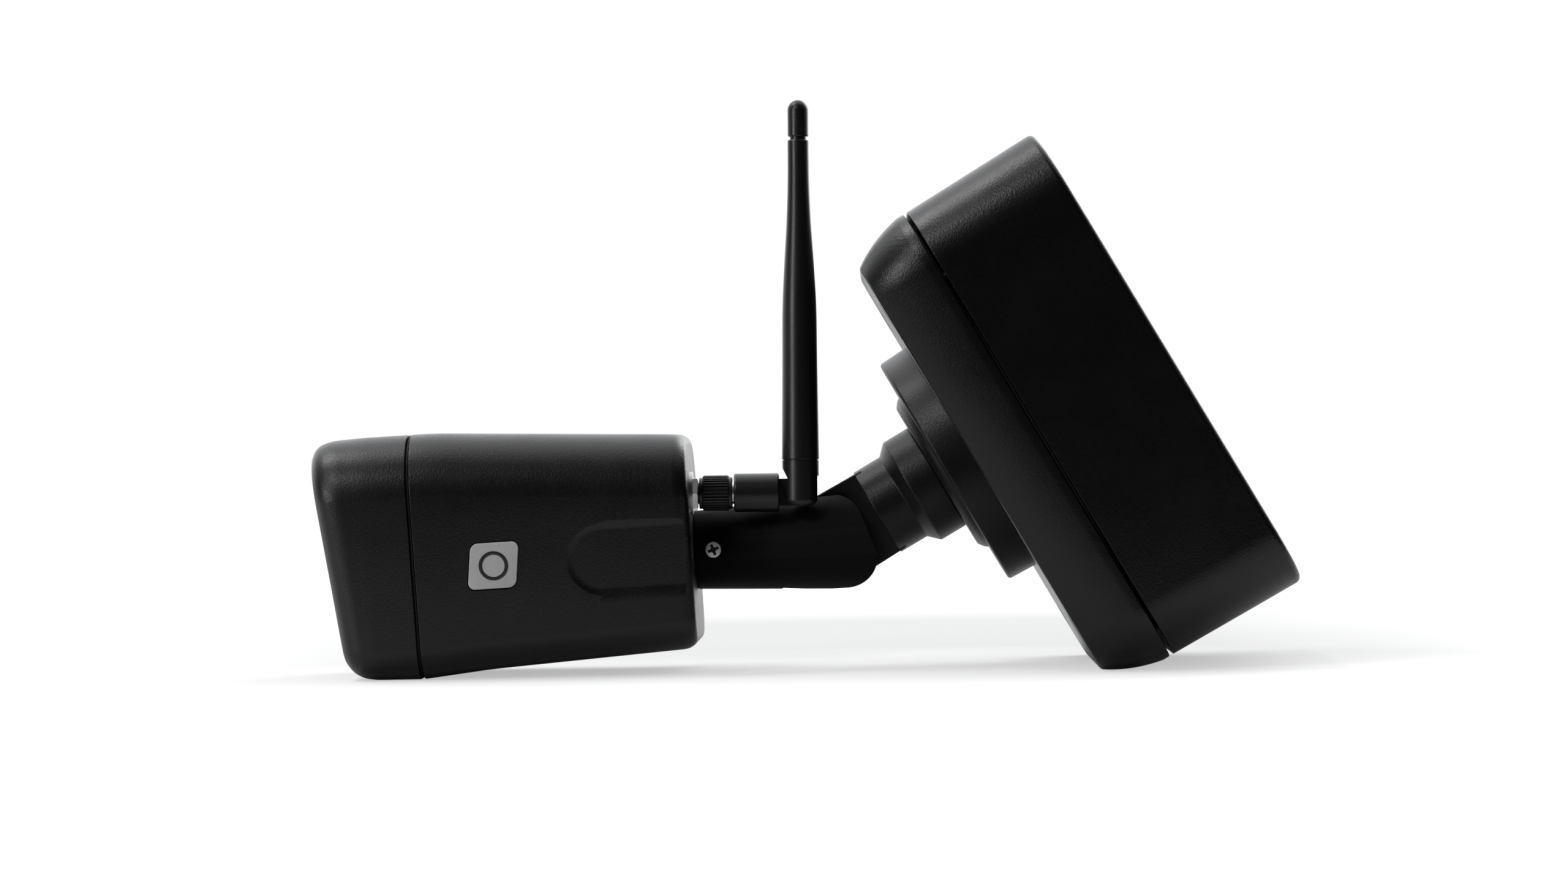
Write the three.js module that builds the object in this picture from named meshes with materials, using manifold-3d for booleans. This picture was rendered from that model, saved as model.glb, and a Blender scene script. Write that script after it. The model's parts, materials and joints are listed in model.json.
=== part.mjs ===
// Wi-Fi bullet security camera: a battery base box, a three-axis bracket, the camera head and a hinged
// antenna. It stands on a floor on the lower edge of its base box and the flat underside of its front hood.
// Units are millimetres and +Z is up. The camera looks along -X and its mounting face looks towards +X, +Z.

import * as THREE from 'three';
import { mergeVertices } from 'three/addons/utils/BufferGeometryUtils.js';
import Module from 'manifold-3d';

const wasm = await Module();
wasm.setup();

const degrees = THREE.MathUtils.degToRad;

// ---------------------------------------------------------------- driving dimensions

const GAP = 0.3; // running gap between neighbouring pieces
const ROUND = 24; // facets around a turned piece
const SMALL_ROUND = 12; // facets around a screw-sized piece

// how the pieces stand
const BOX_TILT = degrees(30); // box axis above the floor plane
const HEAD_TILT = degrees(2.6); // head axis above the floor plane
const CONNECTOR_DROOP = degrees(3); // antenna connector below the head axis
const BLADE_LEAN = degrees(3.3); // antenna past square to its connector, towards the box
const PIVOT_HEIGHT = 34.35; // tilt axis above the floor

// base box, measured along its own axis from the tilt axis
const BOX_FACE = 46.2;
const SEAM_START = 62;
const SEAM_END = 63;
const BOX_BACK = 102.2;
const BOX_HALF_LENGTH = 70.2;
const BOX_HALF_WIDTH = 55;
const BOX_SQUARENESS = 3.1; // exponent of the outline's superellipse
const BOX_DRAFT = 2.1; // how much smaller each half is at the seam than at the wall
const BOX_OFFSET = 3.9; // box centre below the bracket axis
const BOX_WALL = 2.8;
const LID_INSET = 6.9; // how far the lid's curved rim draws in
const BOX_EDGE = 1.8; // rounded edge at the wall
const BOX_FACETS = 40;
const LID_SCREW = [48, 34]; // along and across from the box centre
const BOSS_RADIUS = 4.6;
const SCREW_BORE = 1.9; // clearance for a case screw's shank
const SCREW_SINK = 3.5; // clearance for its head
const WALL_HOLE = [56, 12];
const WALL_HOLE_RADIUS = 2.25;

// charging port: a rounded slot through the lower wall, closed by a rubber plug
const PORT_WIDTH = 15;
const PORT_HEIGHT = 8;
const PORT_AT = 83;

// battery pack
const CELLS = 4;
const CELL_RADIUS = 9.2;
const CELL_LENGTH = 65;
const CELL_PITCH = 19.2;
const TRAY_BACK = BOX_BACK - BOX_WALL - GAP;
const TRAY_FLOOR = 2;
const TRAY_HEIGHT = 26;
const TRAY_END = 2.5;
const CELL_AT = TRAY_BACK - TRAY_FLOOR - CELL_RADIUS - GAP;
const BOARD_THICKNESS = 1.6;

// bracket
const KNUCKLE_RADIUS = 12.45;
const TONGUE_WIDTH = 9.4;
const NECK_START = 15.2;
const NECK_END = 23.5;
const FOOT_START = 26.4;
const FOOT_END = 33.9;
const NECK_RADIUS = 12.55;
const FOOT_RADIUS = 15.4;
const STEM_RADIUS = 8;
const STEM_END = 58;
const COLLAR_START = 34.2;
const COLLAR_END = 37.1;
const DISC_START = 37.4;
const DISC_END = BOX_FACE - GAP;
const DISC_RADIUS = 33.8;
const FLANGE_SCREW_CIRCLE = 27.5;
const FLANGE_SCREWS = 4;
const PAN_WASHER = [49.4, 50.4]; // start and end
const PAN_NUT = [50.7, 56.7];

// arm
const ARM_LENGTH = 36.6;
const ARM_END_RADIUS = 10.25;
const ARM_KNUCKLE_RADIUS = 12.4; // at the tilt axis, measured up and down
const ARM_KNUCKLE_SIDE = 13.4; // at the tilt axis, measured sideways
const SLOT_WIDTH = TONGUE_WIDTH + 2 * GAP;
const SLOT_DEPTH = 13.4;
const TILT_BOLT_RADIUS = 2.5;
const TILT_BOLT_HEAD = 4.2;
const TILT_BOLT_SEAT = 8.3; // from the middle of the arm, on the far side
const INSERT_RADIUS = 3.8;
const INSERT_END = 9.8;
const SPIGOT_RADIUS = 6;
const SPIGOT_REACH = 18; // from the arm's end into the arm
const LOCK_SCREW_AT = 31.3;
const LOCK_SCREW_SEAT = 8.3;

// head, measured forwards along its own axis from the tilt axis
const HEAD_REAR = 37;
const HEAD_SEAM = 110;
const HOOD_START = 110.9;
const HOOD_FRONT = 133.7;
const HEAD_WALL = 2.4;
const REAR_HALF_WIDTH = 31.5;
const FRONT_HALF_WIDTH = 33.5;
const SIDE_LEAN = 3.2; // how far each side draws in towards the underside
const TOP_RADIUS = 17;
const BOTTOM_RADIUS = 9;
const HOOD_RAKE = 0.11; // forward lean of the hood's rim per millimetre of height
const RIM_WIDTH = 7.5;
const FACE_PLATE_AT = 118;
const LENS_HEIGHT = 11;
const PIR_HEIGHT = -11.5;
const LED_SIDE = 17.5;
const LED_PITCH = 8;
const LED_BASE = 113.8;
const SENSOR_AT = 99.6;
const HEAD_BOARD_HEIGHT = -14;
const HEAD_BOARD_AT = 72;

// recess, badge and dimple in the head's side walls
const RECESS_TOP = 9.6;
const RECESS_BOTTOM = -10;
const RECESS_FRONT = 60; // centre of its round end
const RECESS_DEPTH = 1;
const BADGE = [12.3, 12.9]; // height and length
const BADGE_AT = 89;
const BADGE_DEPTH = 0.8;
const SIDE_TAPER = Math.atan(0.025); // the sides draw in towards the rear
const DIMPLE = [-22.4, 104.1]; // height and position along the axis

// memory card door in a pocket in the underside
const DOOR_AT = 72;
const DOOR_LENGTH = 30;
const DOOR_WIDTH = 24;
const DOOR_POCKET = -25.2;
const DOOR_SCREW_AT = 11;

// antenna connector, measured backwards from the head's rear face along the connector's own axis
const CONNECTOR_HEIGHT = 15.6; // above the head axis
const CONNECTOR_SIDE = -12.5;
const JACK_RADIUS = 3.05;
const NUT_FLATS = 8;
const NUT_THICKNESS = 2;
const ANTENNA_COLLAR = [3.1, 12]; // start and end
const ANTENNA_SLEEVE = [12.5, 24.6];
const ELBOW_AT = 30.4;
const COLLAR_RADIUS = 4.7;
const SLEEVE_RADIUS = 5.2;
const ELBOW_RADIUS = 3.7;
const ELBOW_WIDTH = 3.4;
const BLADE_RADIUS = 4.85;
const BLADE_FOOT = -3.4;
const BLADE_TOP = 94.8;
const TIP_START = 95.8;
const TIP_END = 105.6;
const TIP_RADIUS = 2.8;

// ---------------------------------------------------------------- materials

function plastic(color, roughness = 0.5) {
  return new THREE.MeshStandardMaterial({ color, roughness, metalness: 0 });
}

function metal(color, roughness = 0.3) {
  return new THREE.MeshStandardMaterial({ color, roughness, metalness: 1 });
}

const BLACK = 0x161616;
const SATIN_BLACK = 0x1c1c1c;
const RUBBER_BLACK = 0x101010;
const STEEL = 0xb8b8b4;
const BRASS = 0xb59a5a;
const BADGE_GREY = 0x8c8c8c;
const BOARD_GREEN = 0x1f5a36;
const CELL_BLUE = 0x2b5fa8;

// ---------------------------------------------------------------- solid helpers

function toManifold(geometry) {
  const bare = geometry.clone();
  bare.deleteAttribute('normal');
  bare.deleteAttribute('uv');
  const merged = mergeVertices(bare, 1e-4);
  return new wasm.Manifold(new wasm.Mesh({
    numProp: 3,
    vertProperties: new Float32Array(merged.attributes.position.array),
    triVerts: new Uint32Array(merged.index.array),
  }));
}

function toGeometry(manifold) {
  const mesh = manifold.getMesh();
  const geometry = new THREE.BufferGeometry();
  geometry.setAttribute('position', new THREE.BufferAttribute(mesh.vertProperties, 3));
  geometry.setIndex(new THREE.BufferAttribute(mesh.triVerts, 1));
  geometry.computeVertexNormals();
  return geometry;
}

// base joined with every geometry in more, then cut by every geometry in cuts
function carve(base, cuts = [], more = []) {
  let body = toManifold(base);
  for (const geometry of more) body = body.add(toManifold(geometry));
  for (const geometry of cuts) body = body.subtract(toManifold(geometry));
  return toGeometry(body);
}

function overlap(a, b) {
  return toGeometry(toManifold(a).intersect(toManifold(b)));
}

// a turned solid about +Z from [radius, height] pairs that start and end on the axis
function turned(pairs, facets = ROUND) {
  const geometry = new THREE.LatheGeometry(pairs.map(([r, h]) => new THREE.Vector2(r, h)), facets);
  return geometry.rotateX(Math.PI / 2);
}

function rod(radius, from, to, facets = ROUND) {
  return turned([[0, from], [radius, from], [radius, to], [0, to]], facets);
}

// a turned ring: the outer pairs upwards, with a straight bore
function ring(bore, outer, facets = ROUND) {
  const low = outer[0][1];
  const high = outer[outer.length - 1][1];
  return turned([[bore, low], ...outer, [bore, high], [bore, low]], facets);
}

function block(sizeX, sizeY, sizeZ, x = 0, y = 0, z = 0) {
  return new THREE.BoxGeometry(sizeX, sizeY, sizeZ).translate(x, y, z);
}

function prism(shape, from, to, curveSegments = 10) {
  const geometry = new THREE.ExtrudeGeometry(shape, { depth: to - from, bevelEnabled: false, curveSegments });
  return geometry.translate(0, 0, from);
}

// a prism drawn in the x-z plane and extruded along +Y
function crossPrism(shape, from, to, curveSegments = 10) {
  return prism(shape, -to, -from, curveSegments).rotateX(Math.PI / 2);
}

// a closed skin through rings of points with equal counts, capped at both ends
function loft(rings) {
  const count = rings[0].length;
  const positions = rings.flat().flatMap((point) => [point.x, point.y, point.z]);
  const index = [];
  for (let k = 0; k + 1 < rings.length; k += 1) {
    for (let i = 0; i < count; i += 1) {
      const a = k * count + i;
      const b = k * count + ((i + 1) % count);
      index.push(a, b, b + count, a, b + count, a + count);
    }
  }
  const last = (rings.length - 1) * count;
  for (let i = 1; i + 1 < count; i += 1) {
    index.push(0, i + 1, i);
    index.push(last, last + i, last + i + 1);
  }
  const geometry = new THREE.BufferGeometry();
  geometry.setAttribute('position', new THREE.Float32BufferAttribute(positions, 3));
  geometry.setIndex(index);
  geometry.computeVertexNormals();
  return geometry;
}

function roundedRectangle(width, height, radius) {
  const x = width / 2;
  const y = height / 2;
  const shape = new THREE.Shape();
  shape.moveTo(-x + radius, -y);
  shape.lineTo(x - radius, -y);
  shape.absarc(x - radius, -y + radius, radius, -Math.PI / 2, 0);
  shape.lineTo(x, y - radius);
  shape.absarc(x - radius, y - radius, radius, 0, Math.PI / 2);
  shape.lineTo(-x + radius, y);
  shape.absarc(-x + radius, y - radius, radius, Math.PI / 2, Math.PI);
  shape.lineTo(-x, -y + radius);
  shape.absarc(-x + radius, -y + radius, radius, Math.PI, 1.5 * Math.PI);
  return shape;
}

function hexagon(acrossFlats) {
  const radius = acrossFlats / Math.sqrt(3);
  const corners = [];
  for (let i = 0; i < 6; i += 1) {
    const angle = degrees(60 * i);
    corners.push(new THREE.Vector2(radius * Math.cos(angle), radius * Math.sin(angle)));
  }
  return new THREE.Shape(corners);
}

function part(name, geometry, material) {
  const mesh = new THREE.Mesh(geometry, material);
  mesh.name = name;
  return mesh;
}

// ---------------------------------------------------------------- fasteners

// a cross-head screw along +Z: the head sits below z = 0 and the shank above it
function crossScrew(headRadius, headHeight, shankRadius, length) {
  const body = turned([
    [0, -headHeight],
    [headRadius * 0.62, -headHeight],
    [headRadius, -headHeight * 0.45],
    [headRadius, 0],
    [shankRadius, 0],
    [shankRadius, length],
    [0, length],
  ], SMALL_ROUND);
  const arm = headRadius * 1.1;
  const width = headRadius * 0.24;
  const depth = headHeight * 1.1;
  return carve(body, [
    block(arm, width, depth, 0, 0, -headHeight),
    block(width, arm, depth, 0, 0, -headHeight),
  ]);
}

function hexNut(acrossFlats, bore, from, to) {
  return carve(prism(hexagon(acrossFlats), from, to), [rod(bore, from - 1, to + 1, SMALL_ROUND)]);
}

// ---------------------------------------------------------------- base box

// one ring of the box outline, drawn in by inset, at a height along the box axis
function boxRing(height, inset) {
  const points = [];
  for (let i = 0; i < BOX_FACETS; i += 1) {
    const angle = (2 * Math.PI * i) / BOX_FACETS;
    const c = Math.cos(angle);
    const s = Math.sin(angle);
    const x = Math.sign(c) * Math.abs(c) ** (2 / BOX_SQUARENESS);
    const y = Math.sign(s) * Math.abs(s) ** (2 / BOX_SQUARENESS);
    points.push(new THREE.Vector3(
      BOX_OFFSET + x * (BOX_HALF_LENGTH - inset),
      y * (BOX_HALF_WIDTH - inset),
      height,
    ));
  }
  return points;
}

// one geometry at each corner of a rectangle about the box centre
function atCorners([along, across], make) {
  return [[1, 1], [1, -1], [-1, 1], [-1, -1]].map(([i, j]) =>
    make().translate(BOX_OFFSET + i * along, j * across, 0));
}

function atLidScrews(make) {
  return atCorners(LID_SCREW, make);
}

function rearShell() {
  const outer = loft([
    boxRing(SEAM_END, BOX_DRAFT),
    boxRing(BOX_BACK - BOX_EDGE, 0),
    boxRing(BOX_BACK - BOX_EDGE * 0.3, BOX_EDGE * 0.3),
    boxRing(BOX_BACK, BOX_EDGE),
  ]);
  const inner = loft([
    boxRing(SEAM_END - 1, BOX_DRAFT + BOX_WALL),
    boxRing(BOX_BACK - BOX_WALL, BOX_WALL),
  ]);
  const bosses = atLidScrews(() => rod(BOSS_RADIUS, SEAM_END + 1, BOX_BACK - 1, SMALL_ROUND));
  const screwHoles = atLidScrews(() => rod(SCREW_BORE, SEAM_END, SEAM_END + 16, SMALL_ROUND));
  const wallHoles = atCorners(WALL_HOLE, () =>
    rod(WALL_HOLE_RADIUS, BOX_BACK - 2 * BOX_WALL, BOX_BACK + 1, SMALL_ROUND));
  const port = portOutline(PORT_WIDTH, PORT_HEIGHT, BOX_HALF_LENGTH - 8, BOX_HALF_LENGTH + 8);
  return carve(toGeometry(toManifold(outer).subtract(toManifold(inner))), [
    ...screwHoles, ...wallHoles, port,
  ], bosses);
}

function portOutline(width, height, from, to) {
  return prism(roundedRectangle(height, width, height / 2 - 0.4), from, to, 5)
    .rotateY(Math.PI / 2)
    .translate(BOX_OFFSET, 0, PORT_AT);
}

function portPlug() {
  const [from, to] = [BOX_HALF_LENGTH - 4, BOX_HALF_LENGTH + 4];
  const plug = portOutline(PORT_WIDTH - 2 * GAP, PORT_HEIGHT - 2 * GAP, from, to);
  const skin = loft([boxRing(SEAM_END, BOX_DRAFT + 0.5), boxRing(BOX_BACK, 0.5)]);
  return overlap(plug, skin);
}

// the lid's rim curves in towards the face that carries the bracket
function lidRings() {
  const curve = new THREE.QuadraticBezierCurve(
    new THREE.Vector2(LID_INSET, BOX_FACE),
    new THREE.Vector2(1.55, BOX_FACE + 4.2),
    new THREE.Vector2(0, SEAM_START - 2),
  );
  const rings = curve.getPoints(5)
    .map((point) => boxRing(point.y, BOX_DRAFT + point.x));
  return [...rings, boxRing(SEAM_START, BOX_DRAFT)];
}

function lidShell() {
  const outer = loft(lidRings());
  const inner = loft([
    boxRing(BOX_FACE + BOX_WALL, BOX_DRAFT + BOX_WALL + 3),
    boxRing(BOX_FACE + 8, BOX_DRAFT + BOX_WALL + 0.6),
    boxRing(SEAM_START + 1, BOX_DRAFT + BOX_WALL),
  ]);
  const shell = toGeometry(toManifold(outer).subtract(toManifold(inner)));
  const bosses = [
    ...atLidScrews(() => rod(BOSS_RADIUS, BOX_FACE + 1, SEAM_START, SMALL_ROUND)),
    ...atFlangeScrews(() => rod(3.6, BOX_FACE + 1, BOX_FACE + 11, SMALL_ROUND)),
  ];
  const holes = [
    rod(STEM_RADIUS + GAP, BOX_FACE - 1, BOX_FACE + 10),
    ...atLidScrews(() => rod(SCREW_BORE, BOX_FACE - 1, SEAM_START + 1, SMALL_ROUND)),
    ...atLidScrews(() => rod(SCREW_SINK, BOX_FACE - 1, BOX_FACE + 2.6, SMALL_ROUND)),
    ...atFlangeScrews(() => rod(SCREW_BORE, BOX_FACE - 1, BOX_FACE + 9.5, SMALL_ROUND)),
  ];
  return carve(shell, holes, bosses);
}

function lidSeal() {
  const from = SEAM_START + GAP;
  const to = SEAM_END - GAP;
  const outer = loft([boxRing(from, BOX_DRAFT + 0.9), boxRing(to, BOX_DRAFT + 0.9)]);
  const inner = loft([boxRing(from - 1, BOX_DRAFT + 2.3), boxRing(to + 1, BOX_DRAFT + 2.3)]);
  return toGeometry(toManifold(outer).subtract(toManifold(inner)));
}

// ---------------------------------------------------------------- inside the base box

function cellSide(i) {
  return (i - (CELLS - 1) / 2) * CELL_PITCH;
}

// an open cradle: a floor with two end walls that the cells lie between and the board rests on
function batteryTray() {
  const width = CELLS * CELL_PITCH + 1;
  const length = CELL_LENGTH + 2 + 2 * TRAY_END;
  const endWall = (side) => block(TRAY_END, width, TRAY_HEIGHT, BOX_OFFSET + side * (length - TRAY_END) / 2, 0,
    TRAY_BACK - TRAY_HEIGHT / 2);
  const floor = block(length, width, TRAY_FLOOR, BOX_OFFSET, 0, TRAY_BACK - TRAY_FLOOR / 2);
  return carve(floor, [], [endWall(1), endWall(-1)]);
}

function batteryCell(i) {
  const half = CELL_LENGTH / 2;
  const body = turned([
    [0, -half], [CELL_RADIUS, -half], [CELL_RADIUS, half - 0.6], [CELL_RADIUS - 1, half],
    [3, half], [3, half + 0.6], [0, half + 0.6],
  ], 16);
  return body.rotateY(Math.PI / 2).translate(BOX_OFFSET, cellSide(i), CELL_AT);
}

function powerBoard() {
  const back = TRAY_BACK - TRAY_HEIGHT - GAP;
  const front = back - BOARD_THICKNESS;
  const onFront = (x, y, width, length, height) =>
    block(width, length, height, BOX_OFFSET + x, y, front - height / 2 + 0.2);
  return carve(block(70, 44, BOARD_THICKNESS, BOX_OFFSET, 0, back - BOARD_THICKNESS / 2), [], [
    onFront(18, 8, 9, 9, 1.6),
    onFront(-18, -8, 12, 12, 6),
    onFront(-28, 8, 8, 14, 6),
  ]);
}

// ---------------------------------------------------------------- flange and pan bearing

function atFlangeScrews(make) {
  const places = [];
  for (let i = 0; i < FLANGE_SCREWS; i += 1) {
    const angle = degrees(45) + (2 * Math.PI * i) / FLANGE_SCREWS;
    places.push(make().translate(
      FLANGE_SCREW_CIRCLE * Math.cos(angle),
      FLANGE_SCREW_CIRCLE * Math.sin(angle),
      0,
    ));
  }
  return places;
}

function flangeDisc() {
  const disc = ring(STEM_RADIUS + GAP, [
    [DISC_RADIUS - 2, DISC_START], [DISC_RADIUS - 0.4, DISC_START + 1.6], [DISC_RADIUS, DISC_END],
  ], 40);
  return carve(disc, [
    ...atFlangeScrews(() => rod(SCREW_BORE, DISC_START - 1, DISC_END + 1, SMALL_ROUND)),
    ...atFlangeScrews(() => rod(SCREW_SINK, DISC_START - 1, DISC_START + 3.4, SMALL_ROUND)),
  ]);
}

function panCollar() {
  return ring(STEM_RADIUS + GAP, [
    [20.2, COLLAR_START], [21.9, COLLAR_START + 1.3], [22.9, COLLAR_END],
  ], 32);
}

// ---------------------------------------------------------------- swivel

function tongueOutline() {
  const shape = new THREE.Shape();
  shape.moveTo(KNUCKLE_RADIUS, 0);
  shape.lineTo(KNUCKLE_RADIUS - 0.4, NECK_START + 2);
  shape.lineTo(-KNUCKLE_RADIUS + 0.4, NECK_START + 2);
  shape.lineTo(-KNUCKLE_RADIUS, 0);
  shape.absarc(0, 0, KNUCKLE_RADIUS, Math.PI, 2 * Math.PI);
  return shape;
}

function swivelKnuckle() {
  const foot = turned([
    [0, NECK_START], [NECK_RADIUS, NECK_START], [NECK_RADIUS, NECK_END],
    [FOOT_RADIUS, FOOT_START], [FOOT_RADIUS, FOOT_END],
    [STEM_RADIUS, FOOT_END], [STEM_RADIUS, STEM_END], [0, STEM_END],
  ], 28);
  const tongue = crossPrism(tongueOutline(), -TONGUE_WIDTH / 2, TONGUE_WIDTH / 2, 12);
  const bore = rod(TILT_BOLT_RADIUS + 0.2, -20, 20, SMALL_ROUND).rotateX(Math.PI / 2);
  const cableChannel = rod(4.5, NECK_END, STEM_END + 1, SMALL_ROUND);
  return carve(foot, [bore, cableChannel], [tongue]);
}

// ---------------------------------------------------------------- arm

// the arm widens towards the tilt axis, more sideways than up and down
function armReach(z, atKnuckle) {
  return atKnuckle + ((ARM_END_RADIUS - atKnuckle) * z) / ARM_LENGTH;
}

// side view: flats above and below, and a knuckle end that leans back between a tight top corner and a wide
// bottom corner
function armOutline() {
  const end = ARM_LENGTH + 1;
  const heel = new THREE.Vector2(-3.7, -4.2);
  const heelRadius = 8.5;
  const shape = new THREE.Shape();
  shape.moveTo(armReach(end, ARM_KNUCKLE_RADIUS), end);
  shape.lineTo(-armReach(end, ARM_KNUCKLE_RADIUS), end);
  shape.lineTo(-armReach(0, ARM_KNUCKLE_RADIUS), 0);
  shape.absarc(heel.x, heel.y, heelRadius, Math.PI, 1.5 * Math.PI);
  shape.lineTo(7, -9.2);
  shape.quadraticCurveTo(11, -7.9, armReach(-3.4, ARM_KNUCKLE_RADIUS), -3.4);
  return shape;
}

function armTube() {
  const solid = turned([
    [0, -14], [armReach(-14, ARM_KNUCKLE_SIDE), -14], [ARM_END_RADIUS, ARM_LENGTH - 0.6],
    [ARM_END_RADIUS - 0.6, ARM_LENGTH], [0, ARM_LENGTH],
  ], 28);
  const trimmed = overlap(solid, crossPrism(armOutline(), -20, 20, 6));
  const across = (radius, from, to) => rod(radius, from, to, SMALL_ROUND).rotateX(-Math.PI / 2);
  return carve(trimmed, [
    block(40, SLOT_WIDTH, 40, 0, 0, SLOT_DEPTH - 20),
    across(TILT_BOLT_RADIUS + GAP, -INSERT_END, 20),
    across(INSERT_RADIUS + GAP, -INSERT_END, 0),
    across(TILT_BOLT_HEAD + GAP, TILT_BOLT_SEAT, 20),
    rod(SPIGOT_RADIUS + GAP, ARM_LENGTH - SPIGOT_REACH - 0.5, ARM_LENGTH + 1),
    across(1.5, -20, 0).translate(0, 0, LOCK_SCREW_AT),
    across(2.9, -20, -LOCK_SCREW_SEAT).translate(0, 0, LOCK_SCREW_AT),
  ]);
}

function tiltBolt() {
  const head = rod(TILT_BOLT_HEAD, TILT_BOLT_SEAT + GAP, 11.8, 20);
  const shank = rod(TILT_BOLT_RADIUS, GAP + 0.2 - INSERT_END, 9, SMALL_ROUND);
  const socket = prism(hexagon(4), 10, 13);
  return carve(head, [socket], [shank]).rotateX(-Math.PI / 2);
}

function tiltInsert() {
  const outer = [GAP - INSERT_END, -5.4].map((height) => [INSERT_RADIUS, height]);
  return ring(TILT_BOLT_RADIUS + GAP, outer, SMALL_ROUND).rotateX(-Math.PI / 2);
}

function lockScrew() {
  return crossScrew(2.45, 1.4, 1.2, 2.9)
    .rotateX(-Math.PI / 2)
    .translate(0, -LOCK_SCREW_SEAT - GAP, LOCK_SCREW_AT);
}

// ---------------------------------------------------------------- head

function headTop(z) {
  return z < 104 ? 31.6 + ((z - HEAD_REAR) * 4.6) / 67 : 36.2;
}

// the hood's underside lies on the floor, and the housing's rises from it towards the rear in two straights
function headBottom(z) {
  const floorLine = -PIVOT_HEIGHT / Math.cos(HEAD_TILT) + z * Math.tan(HEAD_TILT);
  if (z >= HEAD_SEAM) return floorLine;
  if (z > 92) return -27.9 - ((z - 92) * 1.45) / 18;
  return -25.8 - ((z - HEAD_REAR) * 2.1) / 55;
}

function headHalfWidth(z) {
  const along = THREE.MathUtils.clamp((z - HEAD_REAR) / (HEAD_SEAM - HEAD_REAR), 0, 1);
  return REAR_HALF_WIDTH + (FRONT_HALF_WIDTH - REAR_HALF_WIDTH) * along;
}

// one ring of the head: round top corners, tighter bottom corners and sides that lean in downwards
function headRing(z, inset, rake = 0) {
  const top = headTop(z) - inset;
  const bottom = headBottom(z) + inset;
  const half = headHalfWidth(z) - inset;
  const topRadius = Math.max(TOP_RADIUS - inset, 2);
  const bottomRadius = Math.max(BOTTOM_RADIUS - inset, 2);
  const corners = [
    [top - topRadius, half - topRadius, topRadius, 0],
    [bottom + bottomRadius, half - SIDE_LEAN - bottomRadius, bottomRadius, 90],
    [bottom + bottomRadius, -(half - SIDE_LEAN - bottomRadius), bottomRadius, 180],
    [top - topRadius, -(half - topRadius), topRadius, 270],
  ];
  const steps = 5;
  const points = [];
  for (const [x, y, radius, start] of corners) {
    for (let i = 0; i <= steps; i += 1) {
      const angle = degrees(start + (90 * i) / steps);
      const px = x + radius * Math.cos(angle);
      const py = y + radius * Math.sin(angle);
      points.push(new THREE.Vector3(px, py, z + rake * px));
    }
  }
  return points;
}

// moves a piece drawn about the origin, with its outer face on y = 0, onto a side wall; side is -1 or 1
function ontoSide(geometry, side, z) {
  const upper = headTop(z) - TOP_RADIUS;
  const lower = headBottom(z) + BOTTOM_RADIUS;
  const slope = SIDE_LEAN / (upper - lower);
  return geometry
    .rotateZ(side * Math.atan(slope))
    .rotateX(-side * SIDE_TAPER)
    .translate(0, side * (headHalfWidth(z) - slope * upper), z);
}

// a prism that runs from height proud of a side wall to depth inside it
function sidePrism(shape, side, proud, depth, curveSegments = 6) {
  return side < 0
    ? crossPrism(shape, -proud, depth, curveSegments)
    : crossPrism(shape, -depth, proud, curveSegments);
}

// the rounded recess in each side, open to the rear
function sideRecess(side) {
  const middle = (RECESS_TOP + RECESS_BOTTOM) / 2;
  const radius = (RECESS_TOP - RECESS_BOTTOM) / 2;
  const at = RECESS_FRONT - radius;
  const outline = new THREE.Shape();
  outline.moveTo(RECESS_TOP, HEAD_REAR - 5 - at);
  outline.lineTo(RECESS_TOP, radius);
  outline.absarc(middle, radius, radius, 0, Math.PI);
  outline.lineTo(RECESS_BOTTOM, HEAD_REAR - 5 - at);
  return ontoSide(sidePrism(outline, side, 4, RECESS_DEPTH), side, at);
}

function badgeOutline(margin) {
  const [height, length] = BADGE;
  return roundedRectangle(height + 2 * margin, length + 2 * margin, 2 + margin);
}

function badgePocket() {
  return ontoSide(sidePrism(badgeOutline(GAP), -1, 3, BADGE_DEPTH + GAP), -1, BADGE_AT);
}

function sideBadge() {
  return ontoSide(sidePrism(badgeOutline(0), -1, 0.2, BADGE_DEPTH), -1, BADGE_AT);
}

function dimple(side) {
  const [x, z] = DIMPLE;
  return rod(1, -3, 3, 8).rotateX(Math.PI / 2).translate(x, side * (headHalfWidth(z) + 0.4), z);
}

// posts that hold the head's circuit board above the card door
function boardPosts() {
  const top = HEAD_BOARD_HEIGHT - BOARD_THICKNESS / 2 - GAP;
  const post = () => rod(2, DOOR_POCKET, top, 8).rotateY(Math.PI / 2);
  return [[1, 1], [1, -1], [-1, 1], [-1, -1]].map(([i, j]) =>
    post().translate(0, i * 13, HEAD_BOARD_AT + j * 16));
}

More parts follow.
